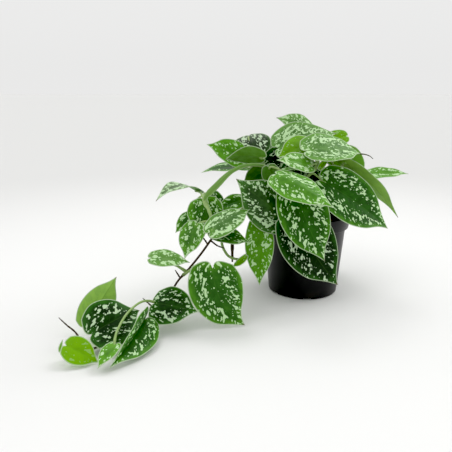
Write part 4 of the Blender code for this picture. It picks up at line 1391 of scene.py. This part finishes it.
def make_soil(earth, bark, stone, grains):
    """The soil: a lumpy body that fills the pot, strewn with crumbs, bark chips and pale stone."""
    bottom = POT_FLOOR + POT_FLOOR_RISE + SOIL_GAP
    foot = POT_BASE_RADIUS - POT_WALL + bottom * POT_TAPER - SOIL_GAP
    edge = POT_BASE_RADIUS - POT_WALL + SOIL_SHOULDER * POT_TAPER - SOIL_GAP - 0.3
    top = SOIL_EDGE + 1
    profile = [(0, bottom), (foot, bottom), (edge, SOIL_SHOULDER), (edge, SOIL_EDGE)]
    profile += [(edge * share, top) for share in np.linspace(0.97, 0.04, SOIL_FINE_RINGS)]
    points, faces = turned_solid(profile + [(0, top)], SOIL_FINE_SIDES)
    for point in points:
        x, y, height = point
        if height >= SOIL_EDGE:
            crumbs = SOIL_CRUMBS * math.sin(1.7 * x + 0.9 * y) * math.cos(1.3 * y - 0.6 * x)
            point[2] = soil_height(x, y) - (SOIL_EDGE_DIP if height < top else 0) + crumbs
    finish_piece(mesh_object("soil_body", (points, faces), earth), "soil")
    tops = [face for face in faces if min(points[corner][2] for corner in face) > SOIL_EDGE]
    # name, size, flatness, spacing, seed and finish
    strewings = (
        ("soil_crumbs", 1.0, 0.8, 1.3, 11, earth),
        ("soil_bark", 2.6, 0.35, 6.0, 23, bark),
        ("soil_stones", 1.2, 0.9, 7.0, 37, stone),
    )
    for name, size, flatness, spacing, seed, finish in strewings:
        values = {
            "Grain size": size * MM,
            "Flatness": flatness,
            "Spacing": spacing * MM,
            "Seed": seed,
            "Material": finish,
        }
        finish_piece(grains.run(mesh_object(name, (points, tops)), values), "soil")


def add_sun(name, azimuth, elevation, strength, spread):
    """A soft white lamp far off in the direction that facing gives."""
    light = bpy.data.lights.new(name, "SUN")
    light.energy, light.angle = strength, math.radians(spread)
    linked(name, light).rotation_euler = (math.radians(90 - elevation), 0, math.radians(azimuth))


def make_sky():
    """Even light from all round: grey at the horizon, and above it brighter at the back than in front."""
    world = bpy.data.worlds.new("studio")
    world.use_nodes = True
    bpy.context.scene.world = world
    sky = Nodes(world.node_tree)
    place = sky.put("ShaderNodeTexCoord").outputs["Generated"]
    _, depth, height = sky.put("ShaderNodeSeparateXYZ", {0: place}).outputs
    rise = sky.out("ShaderNodeMapRange", {0: height, 1: 0.05, 2: 0.6})
    ceiling = sky.out("ShaderNodeMapRange", {0: depth, 1: -0.7, 2: 0.3, 3: 0.56, 4: 0.92})
    tint = sky.mix(rise, rgb(0.82, 0.82, 0.815), ceiling)
    sky.join(tint, sky.tree.nodes["Background"].inputs["Color"])


def make_camera():
    """The photograph's viewpoint."""
    camera = bpy.data.cameras.new("camera")
    camera.sensor_width, camera.lens = SENSOR_WIDTH, FOCAL_SHARE * SENSOR_WIDTH
    camera.clip_start, camera.clip_end = 0.02, 1000
    eye = linked("camera", camera)
    eye.location = [part * MM for part in EYE_PLACE]
    eye.rotation_euler = (math.radians(90 - EYE_PITCH), 0, 0)
    bpy.context.scene.camera = eye


def make_studio():
    """A pale seamless floor and soft light, developed with deep blacks."""
    corners = FLOOR_REACH * np.array([(-1, -1, 0), (1, -1, 0), (1, 1, 0), (-1, 1, 0)])
    mesh_object("floor", (corners, [(0, 1, 2, 3)]), floor_finish())
    make_sky()
    # name, azimuth, elevation, strength and spread
    add_sun("key", 118, 50, 0.6, 26)
    add_sun("fill", -35, 50, 0.31, 30)
    add_sun("back", 200, 62, 0.34, 20)
    add_sun("side", 118, 6, 1.75, 40)
    make_camera()
    look = bpy.context.scene.view_settings
    look.view_transform = "Standard"
    look.use_curve_mapping = True
    look.curve_mapping.black_level = (BLACK_LEVEL,) * 3
    look.curve_mapping.update()


def main():
    """Sets up the studio, then makes the pot, the soil and each leafy stem."""
    make_studio()
    leaf_skin, stem_skin, sheath_skin = leaf_finish(), stem_finish(), sheath_finish()
    earth = earthy_finish("potting soil", rgb(0.012, 0.008, 0.005), rgb(0.06, 0.038, 0.024), 0.5)
    bark = earthy_finish("bark chips", rgb(0.05, 0.025, 0.012), rgb(0.16, 0.085, 0.045), 0.35)
    stone = earthy_finish("pale stone", rgb(0.45, 0.43, 0.38), rgb(0.75, 0.73, 0.68), 0.8)
    make_pot(pot_finish())
    make_soil(earth, bark, stone, grain_tree())
    tubes = tube_tree()
    for number, (vine, grown) in enumerate(plant_layout(all_vines())):
        make_leaves(vine, grown, number, leaf_skin)
        make_stems(vine, grown, tubes, stem_skin)
        if vine.name == "vine_arching":
            make_sheath(vine, sheath_skin)


main()
